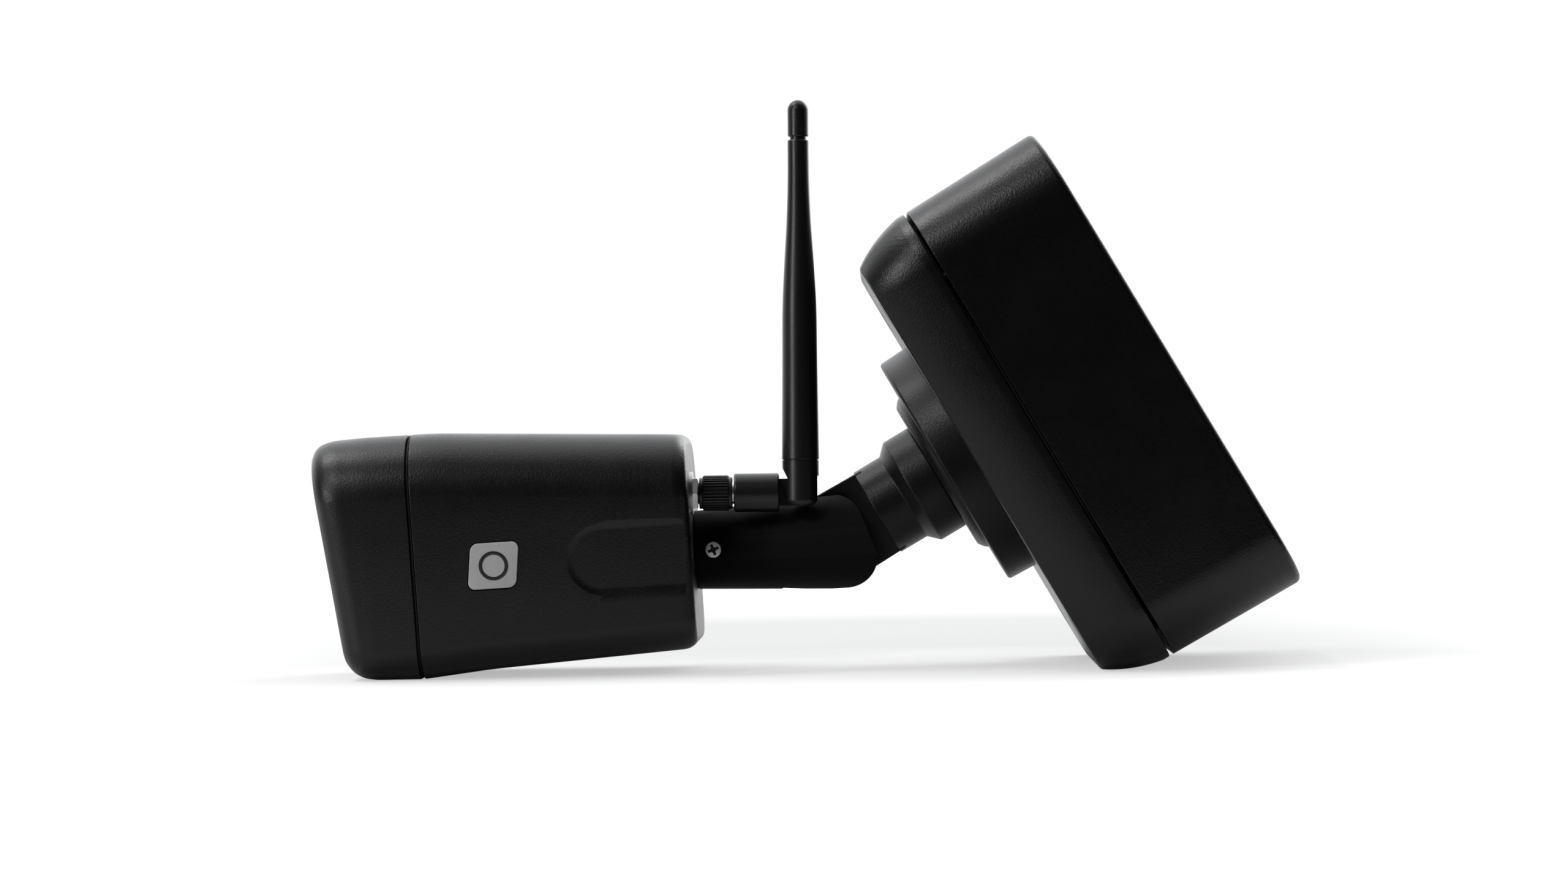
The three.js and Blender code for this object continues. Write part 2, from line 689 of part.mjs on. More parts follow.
function headHousing() {
  const outer = loft([
    headRing(HEAD_REAR, 2.8),
    headRing(HEAD_REAR + 1, 1),
    headRing(HEAD_REAR + 4, 0),
    headRing(92, 0),
    headRing(104, 0),
    headRing(HEAD_SEAM - 0.01, 0),
  ]);
  const inner = loft([
    headRing(HEAD_REAR + 3, HEAD_WALL + 2),
    headRing(92, HEAD_WALL),
    headRing(104, HEAD_WALL),
    headRing(HEAD_SEAM - 0.01, HEAD_WALL).map((p) => p.setZ(HEAD_SEAM + 2)),
  ]);
  const shell = toGeometry(toManifold(outer).subtract(toManifold(inner)));
  const doorBoss = overlap(outer, block(8, DOOR_WIDTH + 8, DOOR_LENGTH + 8, DOOR_POCKET, 0, DOOR_AT));
  return carve(shell, [
    ...[-1, 1].flatMap((side) => [sideRecess(side), dimple(side)]),
    badgePocket(),
    rod(SPIGOT_RADIUS + GAP, HEAD_REAR - 1, HEAD_REAR + 5),
    rod(JACK_RADIUS + GAP, -8, 4, SMALL_ROUND).rotateY(connectorTurn())
      .translate(CONNECTOR_HEIGHT, CONNECTOR_SIDE, HEAD_REAR),
    block(10, DOOR_WIDTH, DOOR_LENGTH, DOOR_POCKET - 5, 0, DOOR_AT),
    doorRod(1.2, -1, DOOR_POCKET - 1, DOOR_POCKET + 5),
    doorRod(1.2, 1, DOOR_POCKET - 1, DOOR_POCKET + 5),
  ], [doorBoss, ...boardPosts()]);
}

function cardDoor() {
  const plate = block(8, DOOR_WIDTH - 2 * GAP, DOOR_LENGTH - 2 * GAP, DOOR_POCKET - GAP - 4, 0, DOOR_AT);
  const skin = loft([headRing(HEAD_REAR, 0.2), headRing(92, 0.2)]);
  return carve(overlap(plate, skin), [-1, 1].map((side) => doorRod(2.1, side, -30, -20)));
}

function doorRod(radius, side, from, to) {
  return rod(radius, from, to, SMALL_ROUND)
    .rotateY(Math.PI / 2)
    .translate(0, 0, DOOR_AT + side * DOOR_SCREW_AT);
}

function doorScrew(side) {
  const head = doorRod(1.8, side, DOOR_POCKET - 1.3, DOOR_POCKET - GAP);
  const shank = doorRod(0.9, side, DOOR_POCKET - 0.5, DOOR_POCKET + 4);
  return carve(head, [], [shank]);
}

function frontSeal() {
  const from = HEAD_SEAM + 0.25;
  const to = HOOD_START - 0.25;
  const ringAt = (z, inset) => headRing(HEAD_SEAM, inset).map((point) => point.setZ(z));
  const outer = loft([ringAt(from, 0.8), ringAt(to, 0.8)]);
  const inner = loft([ringAt(from - 1, 2.2), ringAt(to + 1, 2.2)]);
  return toGeometry(toManifold(outer).subtract(toManifold(inner)));
}

// the hood's rim leans forwards at the top, and its mouth narrows to a short tunnel in front of the window
function frontHood() {
  const outer = loft([
    headRing(HOOD_START, 0),
    headRing(HOOD_FRONT - 12, 0),
    headRing(HOOD_FRONT - 5.4, 0.3, HOOD_RAKE * 0.8),
    headRing(HOOD_FRONT - 2, 1.6, HOOD_RAKE),
    headRing(HOOD_FRONT, 5, HOOD_RAKE),
  ]);
  const mouth = loft([
    headRing(FACE_PLATE_AT - 2, RIM_WIDTH + 1.6),
    headRing(HOOD_FRONT + 6, RIM_WIDTH, HOOD_RAKE),
  ]);
  const back = loft([
    headRing(HOOD_START, HEAD_WALL).map((point) => point.setZ(HOOD_START - 1)),
    headRing(FACE_PLATE_AT - GAP, HEAD_WALL + 1),
  ]);
  return carve(outer, [mouth, back]);
}

function facePlate() {
  const plate = loft([
    headRing(FACE_PLATE_AT, RIM_WIDTH + 2.4),
    headRing(FACE_PLATE_AT + 1.6, RIM_WIDTH + 2.4),
  ]);
  const through = (radius, x, y, facets = 16) =>
    rod(radius, FACE_PLATE_AT - 1, FACE_PLATE_AT + 3, facets).translate(x, y, 0);
  return carve(plate, [
    through(8.4, LENS_HEIGHT, 0),
    through(8.3, PIR_HEIGHT, 0),
    ...ledPlaces().map(([x, y]) => through(2.8, x, y, SMALL_ROUND)),
  ]);
}

function ledPlaces() {
  const places = [];
  for (const side of [-1, 1]) {
    for (const row of [-1, 0, 1]) {
      places.push([LENS_HEIGHT + row * LED_PITCH, side * LED_SIDE]);
    }
  }
  return places;
}

function frontWindow() {
  const window = prism(roundedRectangle(25, 46, 6), 0, 1.8, 6);
  return window.translate(LENS_HEIGHT, 0, FACE_PLATE_AT + 1.6 + GAP);
}

function lensBarrel() {
  const from = SENSOR_AT + BOARD_THICKNESS / 2 + GAP;
  return ring(6.4, [[8, from], [8, FACE_PLATE_AT + 1]], 20).translate(LENS_HEIGHT, 0, 0);
}

function lensGlass() {
  return turned([[0, 110], [6, 110], [6, 114.4], [4.6, 115.8], [2.5, 116.6], [0, 116.9]], 16)
    .translate(LENS_HEIGHT, 0, 0);
}

function sensorBoard() {
  return block(34, 38, BOARD_THICKNESS, LENS_HEIGHT - 6, 0, SENSOR_AT);
}

function mainBoard() {
  const board = block(BOARD_THICKNESS, 40, 46, HEAD_BOARD_HEIGHT, 0, HEAD_BOARD_AT);
  const processor = block(2.2, 14, 14, HEAD_BOARD_HEIGHT + 1.6, 4, HEAD_BOARD_AT + 6);
  const radio = block(3, 12, 10, HEAD_BOARD_HEIGHT + 2, -10, HEAD_BOARD_AT - 14);
  return carve(board, [], [processor, radio]);
}

// the board behind the infrared lights, with a hole for the lens barrel
function irBoard() {
  const board = block(26, 46, 1.4, LENS_HEIGHT, 0, LED_BASE - GAP - 0.7);
  return carve(board, [rod(8.4, LED_BASE - 4, LED_BASE + 2, 16).translate(LENS_HEIGHT, 0, 0)]);
}

function led() {
  return turned([[0, 0], [2.4, 0], [2.4, 3.4], [1.7, 4.9], [0, 5.5]], SMALL_ROUND);
}

function pirDome() {
  return turned([
    [0, -1.5], [9.6, -1.5], [9.6, -0.4], [8, -0.4], [8, 2.4], [6.6, 4.6], [4, 6.1], [0, 6.8],
  ], 18);
}

function rollSpigot() {
  const tip = ARM_LENGTH - SPIGOT_REACH;
  return turned([
    [0, tip], [SPIGOT_RADIUS, tip],
    [SPIGOT_RADIUS, LOCK_SCREW_AT - 1.8], [SPIGOT_RADIUS - 1.2, LOCK_SCREW_AT - 1.8],
    [SPIGOT_RADIUS - 1.2, LOCK_SCREW_AT + 1.8], [SPIGOT_RADIUS, LOCK_SCREW_AT + 1.8],
    [SPIGOT_RADIUS, HEAD_REAR + 3.3], [9.5, HEAD_REAR + 3.3], [9.5, HEAD_REAR + 6], [0, HEAD_REAR + 6],
  ]);
}

// ---------------------------------------------------------------- antenna

// the connector's own frame: +Z runs backwards out of the head's rear face
function connectorTurn() {
  return Math.PI + CONNECTOR_DROOP;
}

// a nut to be turned by hand, with fine ribs along it
function antennaCollar() {
  const ribs = 18;
  const shape = new THREE.Shape();
  for (let i = 0; i < ribs * 4; i += 1) {
    const angle = (2 * Math.PI * i) / (ribs * 4);
    const radius = i % 4 < 2 ? COLLAR_RADIUS : COLLAR_RADIUS - 0.3;
    const point = [radius * Math.cos(angle), radius * Math.sin(angle)];
    if (i === 0) shape.moveTo(...point);
    else shape.lineTo(...point);
  }
  const [from, to] = ANTENNA_COLLAR;
  const ribbed = prism(shape, from + 1, to - 0.9);
  const core = rod(COLLAR_RADIUS - 0.6, from, to);
  return carve(ribbed, [rod(JACK_RADIUS + GAP, from - 1, to + 1, SMALL_ROUND)], [core]);
}

function smaJack() {
  return rod(JACK_RADIUS, -6, 8.6, SMALL_ROUND);
}

function antennaFerrule() {
  return rod(JACK_RADIUS - 0.1, 9.2, 16, SMALL_ROUND);
}

function antennaSleeve() {
  const [from, to] = ANTENNA_SLEEVE;
  const sleeve = turned([
    [0, from], [SLEEVE_RADIUS - 0.3, from], [SLEEVE_RADIUS, from + 0.4], [SLEEVE_RADIUS, to], [0, to],
  ]);
  const outline = new THREE.Shape();
  outline.moveTo(ELBOW_RADIUS, to - 1);
  outline.lineTo(ELBOW_RADIUS, ELBOW_AT);
  outline.absarc(0, ELBOW_AT, ELBOW_RADIUS, 0, Math.PI);
  outline.lineTo(-ELBOW_RADIUS, to - 1);
  const elbow = crossPrism(outline, -ELBOW_WIDTH / 2, ELBOW_WIDTH / 2, 8);
  return carve(sleeve, [
    rod(JACK_RADIUS + GAP, from - 1, 16.3, SMALL_ROUND),
    rod(1.2 + 0.2, -9, 9, 12).rotateX(Math.PI / 2).translate(0, 0, ELBOW_AT),
  ], [elbow]);
}

// the blade's own frame: origin on the elbow pin, +Z along the blade, -X towards the sleeve
function antennaBlade() {
  const blade = turned([
    [0, BLADE_FOOT], [BLADE_RADIUS - 0.9, BLADE_FOOT], [BLADE_RADIUS - 0.1, BLADE_FOOT + 0.9],
    [BLADE_RADIUS - 0.1, 8.6], [BLADE_RADIUS, 8.9], [4.6, 50.5], [3.96, 62],
    [3.22, 73.6], [TIP_RADIUS, 84], [TIP_RADIUS, BLADE_TOP],
    [2.2, BLADE_TOP], [2.2, TIP_START + 3], [0, TIP_START + 3],
  ], 20);
  const elbowRoom = block(12, ELBOW_WIDTH + 2 * GAP, 12, 0, 0, -1.6);
  const sleeveRoom = new THREE.Shape();
  sleeveRoom.moveTo(-8, -8);
  sleeveRoom.lineTo(-BLADE_RADIUS + 1.5, -8);
  sleeveRoom.lineTo(-BLADE_RADIUS + 1.5, 3.9);
  sleeveRoom.lineTo(-BLADE_RADIUS, 6.8);
  sleeveRoom.lineTo(-8, 9.4);
  return carve(blade, [
    elbowRoom,
    crossPrism(sleeveRoom, -8, 8),
    rod(1.4, -9, 9, 12).rotateX(Math.PI / 2),
  ]);
}

function antennaTip() {
  const steps = 4;
  const profile = [[0, TIP_START], [TIP_RADIUS, TIP_START], [TIP_RADIUS, TIP_END - TIP_RADIUS]];
  for (let i = 1; i < steps; i += 1) {
    const angle = (Math.PI / 2) * (i / steps);
    profile.push([TIP_RADIUS * Math.cos(angle), TIP_END - TIP_RADIUS + TIP_RADIUS * Math.sin(angle)]);
  }
  profile.push([0, TIP_END]);
  return carve(turned(profile, 20), [rod(2.5, TIP_START - 1, TIP_START + 3.3, 20)]);
}

function hingePin() {
  return rod(1.1, -4.6, 4.6, 12).rotateX(Math.PI / 2);
}

// ---------------------------------------------------------------- assembly

const camera = new THREE.Group();
const blackPlastic = plastic(BLACK, 0.45);
const screwSteel = metal(STEEL);

// base box and bracket: +Z along the box axis towards the wall, +X towards the box's lower edge
const bracket = new THREE.Group();
bracket.position.z = PIVOT_HEIGHT;
bracket.rotation.y = Math.PI / 2 - BOX_TILT;
camera.add(bracket);

const base = new THREE.Group();
bracket.add(base);
base.add(part('rear_shell', rearShell(), plastic(BLACK, 0.4)));
base.add(part('lid_shell', lidShell(), plastic(BLACK, 0.4)));
base.add(part('lid_seal', lidSeal(), plastic(RUBBER_BLACK, 0.9)));
base.add(part('port_plug', portPlug(), plastic(RUBBER_BLACK, 0.9)));
base.add(part('battery_tray', batteryTray(), plastic(SATIN_BLACK, 0.6)));
base.add(part('power_board', powerBoard(), plastic(BOARD_GREEN, 0.4)));
for (let i = 0; i < CELLS; i += 1) {
  base.add(part(`battery_cell_${i + 1}`, batteryCell(i), plastic(CELL_BLUE, 0.35)));
}
const lidScrew = () => crossScrew(3.1, 2.2, 1.5, 24).translate(0, 0, BOX_FACE + 2.3);
atLidScrews(lidScrew).forEach((geometry, i) => {
  base.add(part(`lid_screw_${i + 1}`, geometry, screwSteel));
});

base.add(part('flange_disc', flangeDisc(), blackPlastic));
base.add(part('pan_collar', panCollar(), blackPlastic));
base.add(part('pan_washer', ring(STEM_RADIUS + GAP, PAN_WASHER.map((height) => [13, height])), screwSteel));
const flangeScrew = () => crossScrew(3.1, 2.4, 1.5, 12).translate(0, 0, DISC_START + 3.1);
atFlangeScrews(flangeScrew).forEach((geometry, i) => {
  base.add(part(`flange_screw_${i + 1}`, geometry, screwSteel));
});

const swivel = new THREE.Group();
bracket.add(swivel);
swivel.add(part('swivel_knuckle', swivelKnuckle(), blackPlastic));
swivel.add(part('pan_nut', hexNut(24, STEM_RADIUS + GAP, ...PAN_NUT), screwSteel));

// arm and head: +Z forwards along the head axis, +X up
const arm = new THREE.Group();
arm.position.z = PIVOT_HEIGHT;
arm.rotation.y = -(Math.PI / 2 + HEAD_TILT);
camera.add(arm);
arm.add(part('arm_tube', armTube(), blackPlastic));
arm.add(part('tilt_bolt', tiltBolt(), screwSteel));
arm.add(part('tilt_insert', tiltInsert(), metal(BRASS)));
arm.add(part('lock_screw', lockScrew(), screwSteel));

const head = new THREE.Group();
arm.add(head);
head.add(part('head_housing', headHousing(), blackPlastic));
head.add(part('front_hood', frontHood(), blackPlastic));
head.add(part('front_seal', frontSeal(), plastic(RUBBER_BLACK, 0.9)));
head.add(part('face_plate', facePlate(), plastic(SATIN_BLACK, 0.3)));
head.add(part('front_window', frontWindow(), plastic(0x20242a, 0.05)));
head.add(part('lens_barrel', lensBarrel(), plastic(SATIN_BLACK, 0.5)));
head.add(part('lens_glass', lensGlass(), plastic(0x2a3350, 0.05)));
head.add(part('sensor_board', sensorBoard(), plastic(BOARD_GREEN, 0.4)));
head.add(part('main_board', mainBoard(), plastic(BOARD_GREEN, 0.4)));
head.add(part('ir_board', irBoard(), plastic(BOARD_GREEN, 0.4)));
ledPlaces().forEach(([x, y], i) => {
  const light = part(`ir_led_${i + 1}`, led(), plastic(0xd8d8d0, 0.2));
  light.position.set(x, y, LED_BASE);
  head.add(light);
});
const pir = part('pir_dome', pirDome(), plastic(0xe8e8e4, 0.4));
pir.position.set(PIR_HEIGHT, 0, FACE_PLATE_AT);
head.add(pir);
head.add(part('roll_spigot', rollSpigot(), metal(STEEL, 0.4)));
head.add(part('card_door', cardDoor(), plastic(RUBBER_BLACK, 0.7)));
head.add(part('door_screw_1', doorScrew(-1), screwSteel));
head.add(part('door_screw_2', doorScrew(1), screwSteel));
head.add(part('side_badge', sideBadge(), plastic(BADGE_GREY, 0.4)));

// antenna: +Z backwards along the connector
const connector = new THREE.Group();
connector.position.set(CONNECTOR_HEIGHT, CONNECTOR_SIDE, HEAD_REAR);
connector.rotation.y = connectorTurn();
head.add(connector);
connector.add(part('sma_jack', smaJack(), metal(BRASS)));
connector.add(part('sma_nut', hexNut(NUT_FLATS, JACK_RADIUS + GAP, 0.6, 0.6 + NUT_THICKNESS), screwSteel));
connector.add(part('antenna_collar', antennaCollar(), blackPlastic));
connector.add(part('antenna_ferrule', antennaFerrule(), screwSteel));
connector.add(part('antenna_sleeve', antennaSleeve(), blackPlastic));

// blade: +Z along the blade, -X towards the sleeve
const blade = new THREE.Group();
blade.position.z = ELBOW_AT;
blade.rotation.y = -Math.PI / 2 - CONNECTOR_DROOP + BLADE_LEAN;
connector.add(blade);
blade.add(part('antenna_blade', antennaBlade(), blackPlastic));
blade.add(part('antenna_tip', antennaTip(), blackPlastic));
blade.add(part('hinge_pin', hingePin(), screwSteel));

// the origin is the middle of the footprint, on the floor
camera.updateMatrixWorld(true);
const reach = new THREE.Box3().setFromObject(camera, true);
camera.position.x = -(reach.min.x + reach.max.x) / 2;

export default camera;
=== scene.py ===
"""Looks for the security camera: smooth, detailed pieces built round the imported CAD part.

Shapes are drawn in millimetres in the frames of the CAD joints and placed by them, so every piece sits where
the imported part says. The security camera looks along -X, and the side that faces the viewer is -Y.
"""

import json
import math

import bmesh
import bpy
from mathutils import Matrix, Vector


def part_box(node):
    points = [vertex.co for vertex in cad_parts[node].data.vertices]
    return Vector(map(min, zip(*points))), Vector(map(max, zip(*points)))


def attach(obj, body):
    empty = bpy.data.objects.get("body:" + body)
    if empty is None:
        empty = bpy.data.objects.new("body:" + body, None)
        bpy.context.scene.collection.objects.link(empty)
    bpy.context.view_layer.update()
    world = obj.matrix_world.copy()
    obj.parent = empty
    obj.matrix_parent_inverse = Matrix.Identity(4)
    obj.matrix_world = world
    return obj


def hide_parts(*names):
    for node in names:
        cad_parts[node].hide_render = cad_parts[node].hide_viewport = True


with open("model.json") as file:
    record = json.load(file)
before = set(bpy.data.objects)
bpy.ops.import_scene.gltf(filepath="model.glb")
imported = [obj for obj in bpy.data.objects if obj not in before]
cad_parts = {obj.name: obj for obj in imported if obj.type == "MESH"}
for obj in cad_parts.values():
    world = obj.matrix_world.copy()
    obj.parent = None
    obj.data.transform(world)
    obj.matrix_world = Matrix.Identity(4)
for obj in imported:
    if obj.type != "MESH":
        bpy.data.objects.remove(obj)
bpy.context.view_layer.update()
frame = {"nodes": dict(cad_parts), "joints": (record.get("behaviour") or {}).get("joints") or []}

MM = 0.001
scene = bpy.context.scene
joints = {joint["name"]: joint for joint in frame["joints"]}


# ---- frames


def axis_frame(origin, along):
    """Millimetres at origin, with +Z along a direction in the XZ plane and +Y across the camera."""
    z = Vector(along).normalized()
    y = Vector((0, 1, 0))
    x = y.cross(z).normalized()
    placed = Matrix((x, y, z)).transposed().to_4x4()
    placed.translation = Vector(origin)
    return placed @ Matrix.Scale(MM, 4)


def middle(node):
    low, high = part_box(node)
    return (low + high) / 2


ELBOW = Vector(joints["antenna_fold"]["pos_m"])
BRACKET = axis_frame(joints["pan"]["pos_m"], joints["pan"]["axis"])
HEAD = axis_frame(joints["head_roll"]["pos_m"], -Vector(joints["head_roll"]["axis"]))
CONNECTOR = axis_frame(joints["antenna_swivel"]["pos_m"], joints["antenna_swivel"]["axis"])
BLADE = axis_frame(ELBOW, middle("antenna_tip") - ELBOW)
# draws an outline's x and y in a frame's x and z, and its height along y
ACROSS = Matrix(((1, 0, 0, 0), (0, 0, 1, 0), (0, 1, 0, 0), (0, 0, 0, 1)))


def shift(x=0, y=0, z=0):
    return Matrix.Translation((x, y, z))


def turn(degrees, axis):
    return Matrix.Rotation(math.radians(degrees), 4, axis)


def span(node, matrix):
    """Lowest and highest corner of a CAD node in a frame, in its millimetres."""
    inverse = matrix.inverted()
    points = [inverse @ v.co for v in frame["nodes"][node].data.vertices]
    low = Vector([min(p[i] for p in points) for i in range(3)])
    high = Vector([max(p[i] for p in points) for i in range(3)])
    return low, high


def node_middle(node, matrix=HEAD):
    """The middle of a CAD node's box in a frame."""
    low, high = span(node, matrix)
    return (low + high) / 2


def quarter(steps, first=0):
    """Angles from 0 up to, but not with, a right angle."""
    return [math.radians(90 * k / steps) for k in range(first, steps)]


# ---- mesh tools


def new_object(name, data):
    obj = bpy.data.objects.new(name, data)
    scene.collection.objects.link(obj)
    return obj


def solid(name, vertices, faces, matrix):
    """A closed mesh with its normals outwards."""
    data = bpy.data.meshes.new(name)
    data.from_pydata([tuple(matrix @ Vector(v)) for v in vertices], [], faces)
    work = bmesh.new()
    work.from_mesh(data)
    bmesh.ops.recalc_face_normals(work, faces=work.faces)
    work.to_mesh(data)
    work.free()
    return new_object(name, data)


def loft(name, rings, matrix, wrap=False):
    """A skin through rings of equal counts, capped at both ends or joined from last to first."""
    count = len(rings[0])
    vertices = [p for ring in rings for p in ring]
    faces = []
    rows = len(rings)
    for k in range(rows if wrap else rows - 1):
        a, b = k * count, (k + 1) % rows * count
        for i in range(count):
            j = (i + 1) % count
            faces.append((a + i, a + j, b + j, b + i))
    if not wrap:
        faces.append(tuple(range(count)))
        faces.append(tuple((rows - 1) * count + i for i in range(count)))
    return solid(name, vertices, faces, matrix)


def turned(name, profile, matrix, segments=96, wrap=False):
    """A solid of revolution about +Z from (radius, height) points."""
    vertices, rows = [], []
    for r, z in profile:
        start = len(vertices)
        if r < 1e-6:
            vertices.append((0, 0, z))
            rows.append([start])
            continue
        for i in range(segments):
            a = 2 * math.pi * i / segments
            vertices.append((r * math.cos(a), r * math.sin(a), z))
        rows.append(list(range(start, start + segments)))
    faces = []
    for a, b in zip(rows, rows[1:] + (rows[:1] if wrap else [])):
        for i in range(segments):
            j = (i + 1) % segments
            face = dict.fromkeys([a[i % len(a)], a[j % len(a)], b[j % len(b)], b[i % len(b)]])
            if len(face) > 2:
                faces.append(tuple(face))
    return solid(name, vertices, faces, matrix)


def rounded(points, radius, steps=4, closed=False):
    """A polyline with its corners rounded; radius is one number, or one for each point."""
    radii = [radius] * len(points) if isinstance(radius, (int, float)) else radius
    points = [Vector(p) for p in points]
    out = []
    for i, p in enumerate(points):
        if not closed and i in (0, len(points) - 1) or radii[i] <= 0:
            out.append(tuple(p))
            continue
        before, after = points[i - 1] - p, points[(i + 1) % len(points)] - p
        reach = min(radii[i], before.length * 0.48, after.length * 0.48)
        a, b = p + before.normalized() * reach, p + after.normalized() * reach
        for k in range(steps + 1):
            t = k / steps
            out.append(tuple(a * (1 - t) ** 2 + p * 2 * t * (1 - t) + b * t**2))
    return out


def arc(x, y, radius, start, end, steps=16):
    """Points along an arc, with its angles in degrees."""
    angles = [math.radians(start + (end - start) * i / steps) for i in range(steps + 1)]
    return [(x + radius * math.cos(a), y + radius * math.sin(a)) for a in angles]


def rectangle(width, height, radius, steps=8):
    corners = [(1, 1), (-1, 1), (-1, -1), (1, -1)]
    out = []
    for k, (i, j) in enumerate(corners):
        out += arc(i * (width / 2 - radius), j * (height / 2 - radius), radius, 90 * k, 90 * k + 90, steps)
    return out


def with_straights(bends, steps):
    """A closed outline of bends, with points along the straight lines between them."""
    outline = []
    for bend, after in zip(bends, bends[1:] + bends[:1]):
        a, b = Vector(bend[-1]), Vector(after[0])
        outline += bend + [tuple(a.lerp(b, k / steps)) for k in range(1, steps)]
    return outline


def inset_outline(outline, distance):
    """A closed outline drawn in by a distance, corner by corner."""
    points = [Vector(p) for p in outline]
    area = sum(a.x * b.y - b.x * a.y for a, b in zip(points, points[1:] + points[:1]))
    side = 1 if area > 0 else -1
    out = []
    for i, p in enumerate(points):
        u = p - points[i - 1]
        v = points[(i + 1) % len(points)] - p
        if u.length < 1e-9 or v.length < 1e-9:
            u = v = u if u.length > v.length else v
        u, v = u.normalized(), v.normalized()
        normal = (Vector((-u.y, u.x)) + Vector((-v.y, v.x))) * side
        normal.normalize()
        lean = max(0.4, abs(normal.dot(Vector((-u.y, u.x)))))
        out.append(tuple(p + normal * distance / lean))
    return out


def slab(name, outline, low, high, matrix, edge=0.3, steps=3):
    """An outline drawn upwards from low to high, with rounded edges."""
    clean = [p for i, p in enumerate(outline) if (Vector(p) - Vector(outline[i - 1])).length > 1e-6]
    rings = [(0, low), (0, high)]
    if edge > 0:
        bend = [math.pi / 2 * k / steps for k in range(steps + 1)]
        bend = [(edge * (1 - math.sin(a)), edge * (1 - math.cos(a))) for a in bend]
        rings = [(d, low + z) for d, z in bend] + [(d, high - z) for d, z in reversed(bend)]
    return loft(name, [[(*p, z) for p in inset_outline(clean, d)] for d, z in rings], matrix)


def bake(obj):
    """Applies an object's modifiers to its mesh."""
    bpy.context.view_layer.update()
    graph = bpy.context.evaluated_depsgraph_get()
    data = bpy.data.meshes.new_from_object(obj.evaluated_get(graph), depsgraph=graph)
    obj.modifiers.clear()
    obj.data = data


def refinish(obj, material, matrix, chosen):
    """A second material on the faces whose centres, in a frame, are chosen."""
    obj.data.materials.append(material)
    inverse = matrix.inverted()
    for face in obj.data.polygons:
        if chosen(inverse @ face.center):
            face.material_index = 1


def combine(obj, others, operation="DIFFERENCE"):
    for other in others:
        step = obj.modifiers.new("combine", "BOOLEAN")
        step.operation = operation
        step.solver = "EXACT"
        step.object = other
    bake(obj)
    for other in others:
        bpy.data.objects.remove(other)


def soften(obj, width, segments=3, angle=35):
    """Rounds the sharp edges."""
    step = obj.modifiers.new("soften", "BEVEL")
    step.width = width * MM
    step.segments = segments
    step.limit_method = "ANGLE"
    step.angle_limit = math.radians(angle)
    step.use_clamp_overlap = True
    step.miter_outer = "MITER_ARC"
    bake(obj)


def smooth(obj, angle=32):
    """Smooth faces, sharp only across edges steeper than angle."""
    work = bmesh.new()
    work.from_mesh(obj.data)
    limit = math.radians(angle)
    for face in work.faces:
        face.smooth = True
    for edge in work.edges:
        edge.smooth = len(edge.link_faces) == 2 and edge.calc_face_angle(0) < limit
    work.to_mesh(obj.data)
    work.free()
    step = obj.modifiers.new("normals", "WEIGHTED_NORMAL")
    step.keep_sharp = True
    bake(obj)


def piece(obj, body, material, slot, *nodes, angle=32):
    """Finishes a piece: shading, material, the body it rides on and the CAD nodes it stands for."""
    smooth(obj, angle)
    obj.data.materials.clear()
    obj.data.materials.append(material)
    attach(obj, body)
    if nodes:
        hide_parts(*nodes)


# ---- materials


class Tree:
    """A short way to write the node tree of a material or world."""

    def __init__(self, owner):
        self.owner = owner
        owner.use_nodes = True
        self.tree = owner.node_tree

    def add(self, kind, links=None, **settings):
        """A node with its properties or input values set, and with links from other nodes' outputs."""
        node = self.tree.nodes.new(kind)
        for key, value in settings.items():
            if hasattr(node, key):
                setattr(node, key, value)
            else:
                node.inputs[key.replace("_", " ").title()].default_value = value
        for key, source in (links or {}).items():
            self.tree.links.new(source, node.inputs[key])
        return node

    def remap(self, value, low, high, to_low, to_high):
        node = self.add("ShaderNodeMapRange", {"Value": value}, From_Min=low, From_Max=high, To_Min=to_low,
                        To_Max=to_high)
        return node.outputs["Result"]


class Look(Tree):
    """A material, written from its noises up to its shader."""

    def __init__(self, name):
        super().__init__(bpy.data.materials.new(name))
        self.shader = next(n for n in self.tree.nodes if n.type == "BSDF_PRINCIPLED")
        self.place = self.add("ShaderNodeTexCoord").outputs["Object"]

    def noise(self, size_mm, detail=3.0, roughness=0.55, stretch=None):
        place = self.place
        if stretch:
            place = self.add("ShaderNodeMapping", {"Vector": place}, Scale=stretch).outputs["Vector"]
        node = self.add("ShaderNodeTexNoise", {"Vector": place}, Scale=1 / (size_mm * MM), Detail=detail,
                        Roughness=roughness)
        return node.outputs["Fac"]

    def cells(self, size_mm):
        node = self.add("ShaderNodeTexVoronoi", {"Vector": self.place}, feature="SMOOTH_F1",
                        Scale=1 / (size_mm * MM), Smoothness=0.6)
        return node.outputs["Distance"]

    def feed(self, socket, value):
        """Links another node's output to a socket, or gives the socket a number or a colour."""
        if hasattr(value, "links"):
            self.tree.links.new(value, socket)
        else:
            socket.default_value = (*value, 1) if isinstance(value, tuple) else value

    def mix(self, share, a, b):
        node = self.add("ShaderNodeMix", data_type="RGBA")
        for socket, value in ((0, share), (6, a), (7, b)):
            self.feed(node.inputs[socket], value)
        return node.outputs[2]

    def math(self, operation, a, b=0.0):
        node = self.add("ShaderNodeMath", operation=operation)
        self.feed(node.inputs[0], a)
        self.feed(node.inputs[1], b)
        return node.outputs[0]

    def edges(self):
        """Near 1 on outward edges, where a finish wears."""
        return self.remap(self.add("ShaderNodeNewGeometry").outputs["Pointiness"], 0.52, 0.58, 0, 1)

    def bump(self, height, distance_mm):
        node = self.add("ShaderNodeBump", {"Height": height}, Strength=1.0, Distance=distance_mm * MM)
        return node.outputs["Normal"]

    def set(self, **sockets):
        for key, value in sockets.items():
            self.feed(self.shader.inputs[key.replace("_", " ")], value)


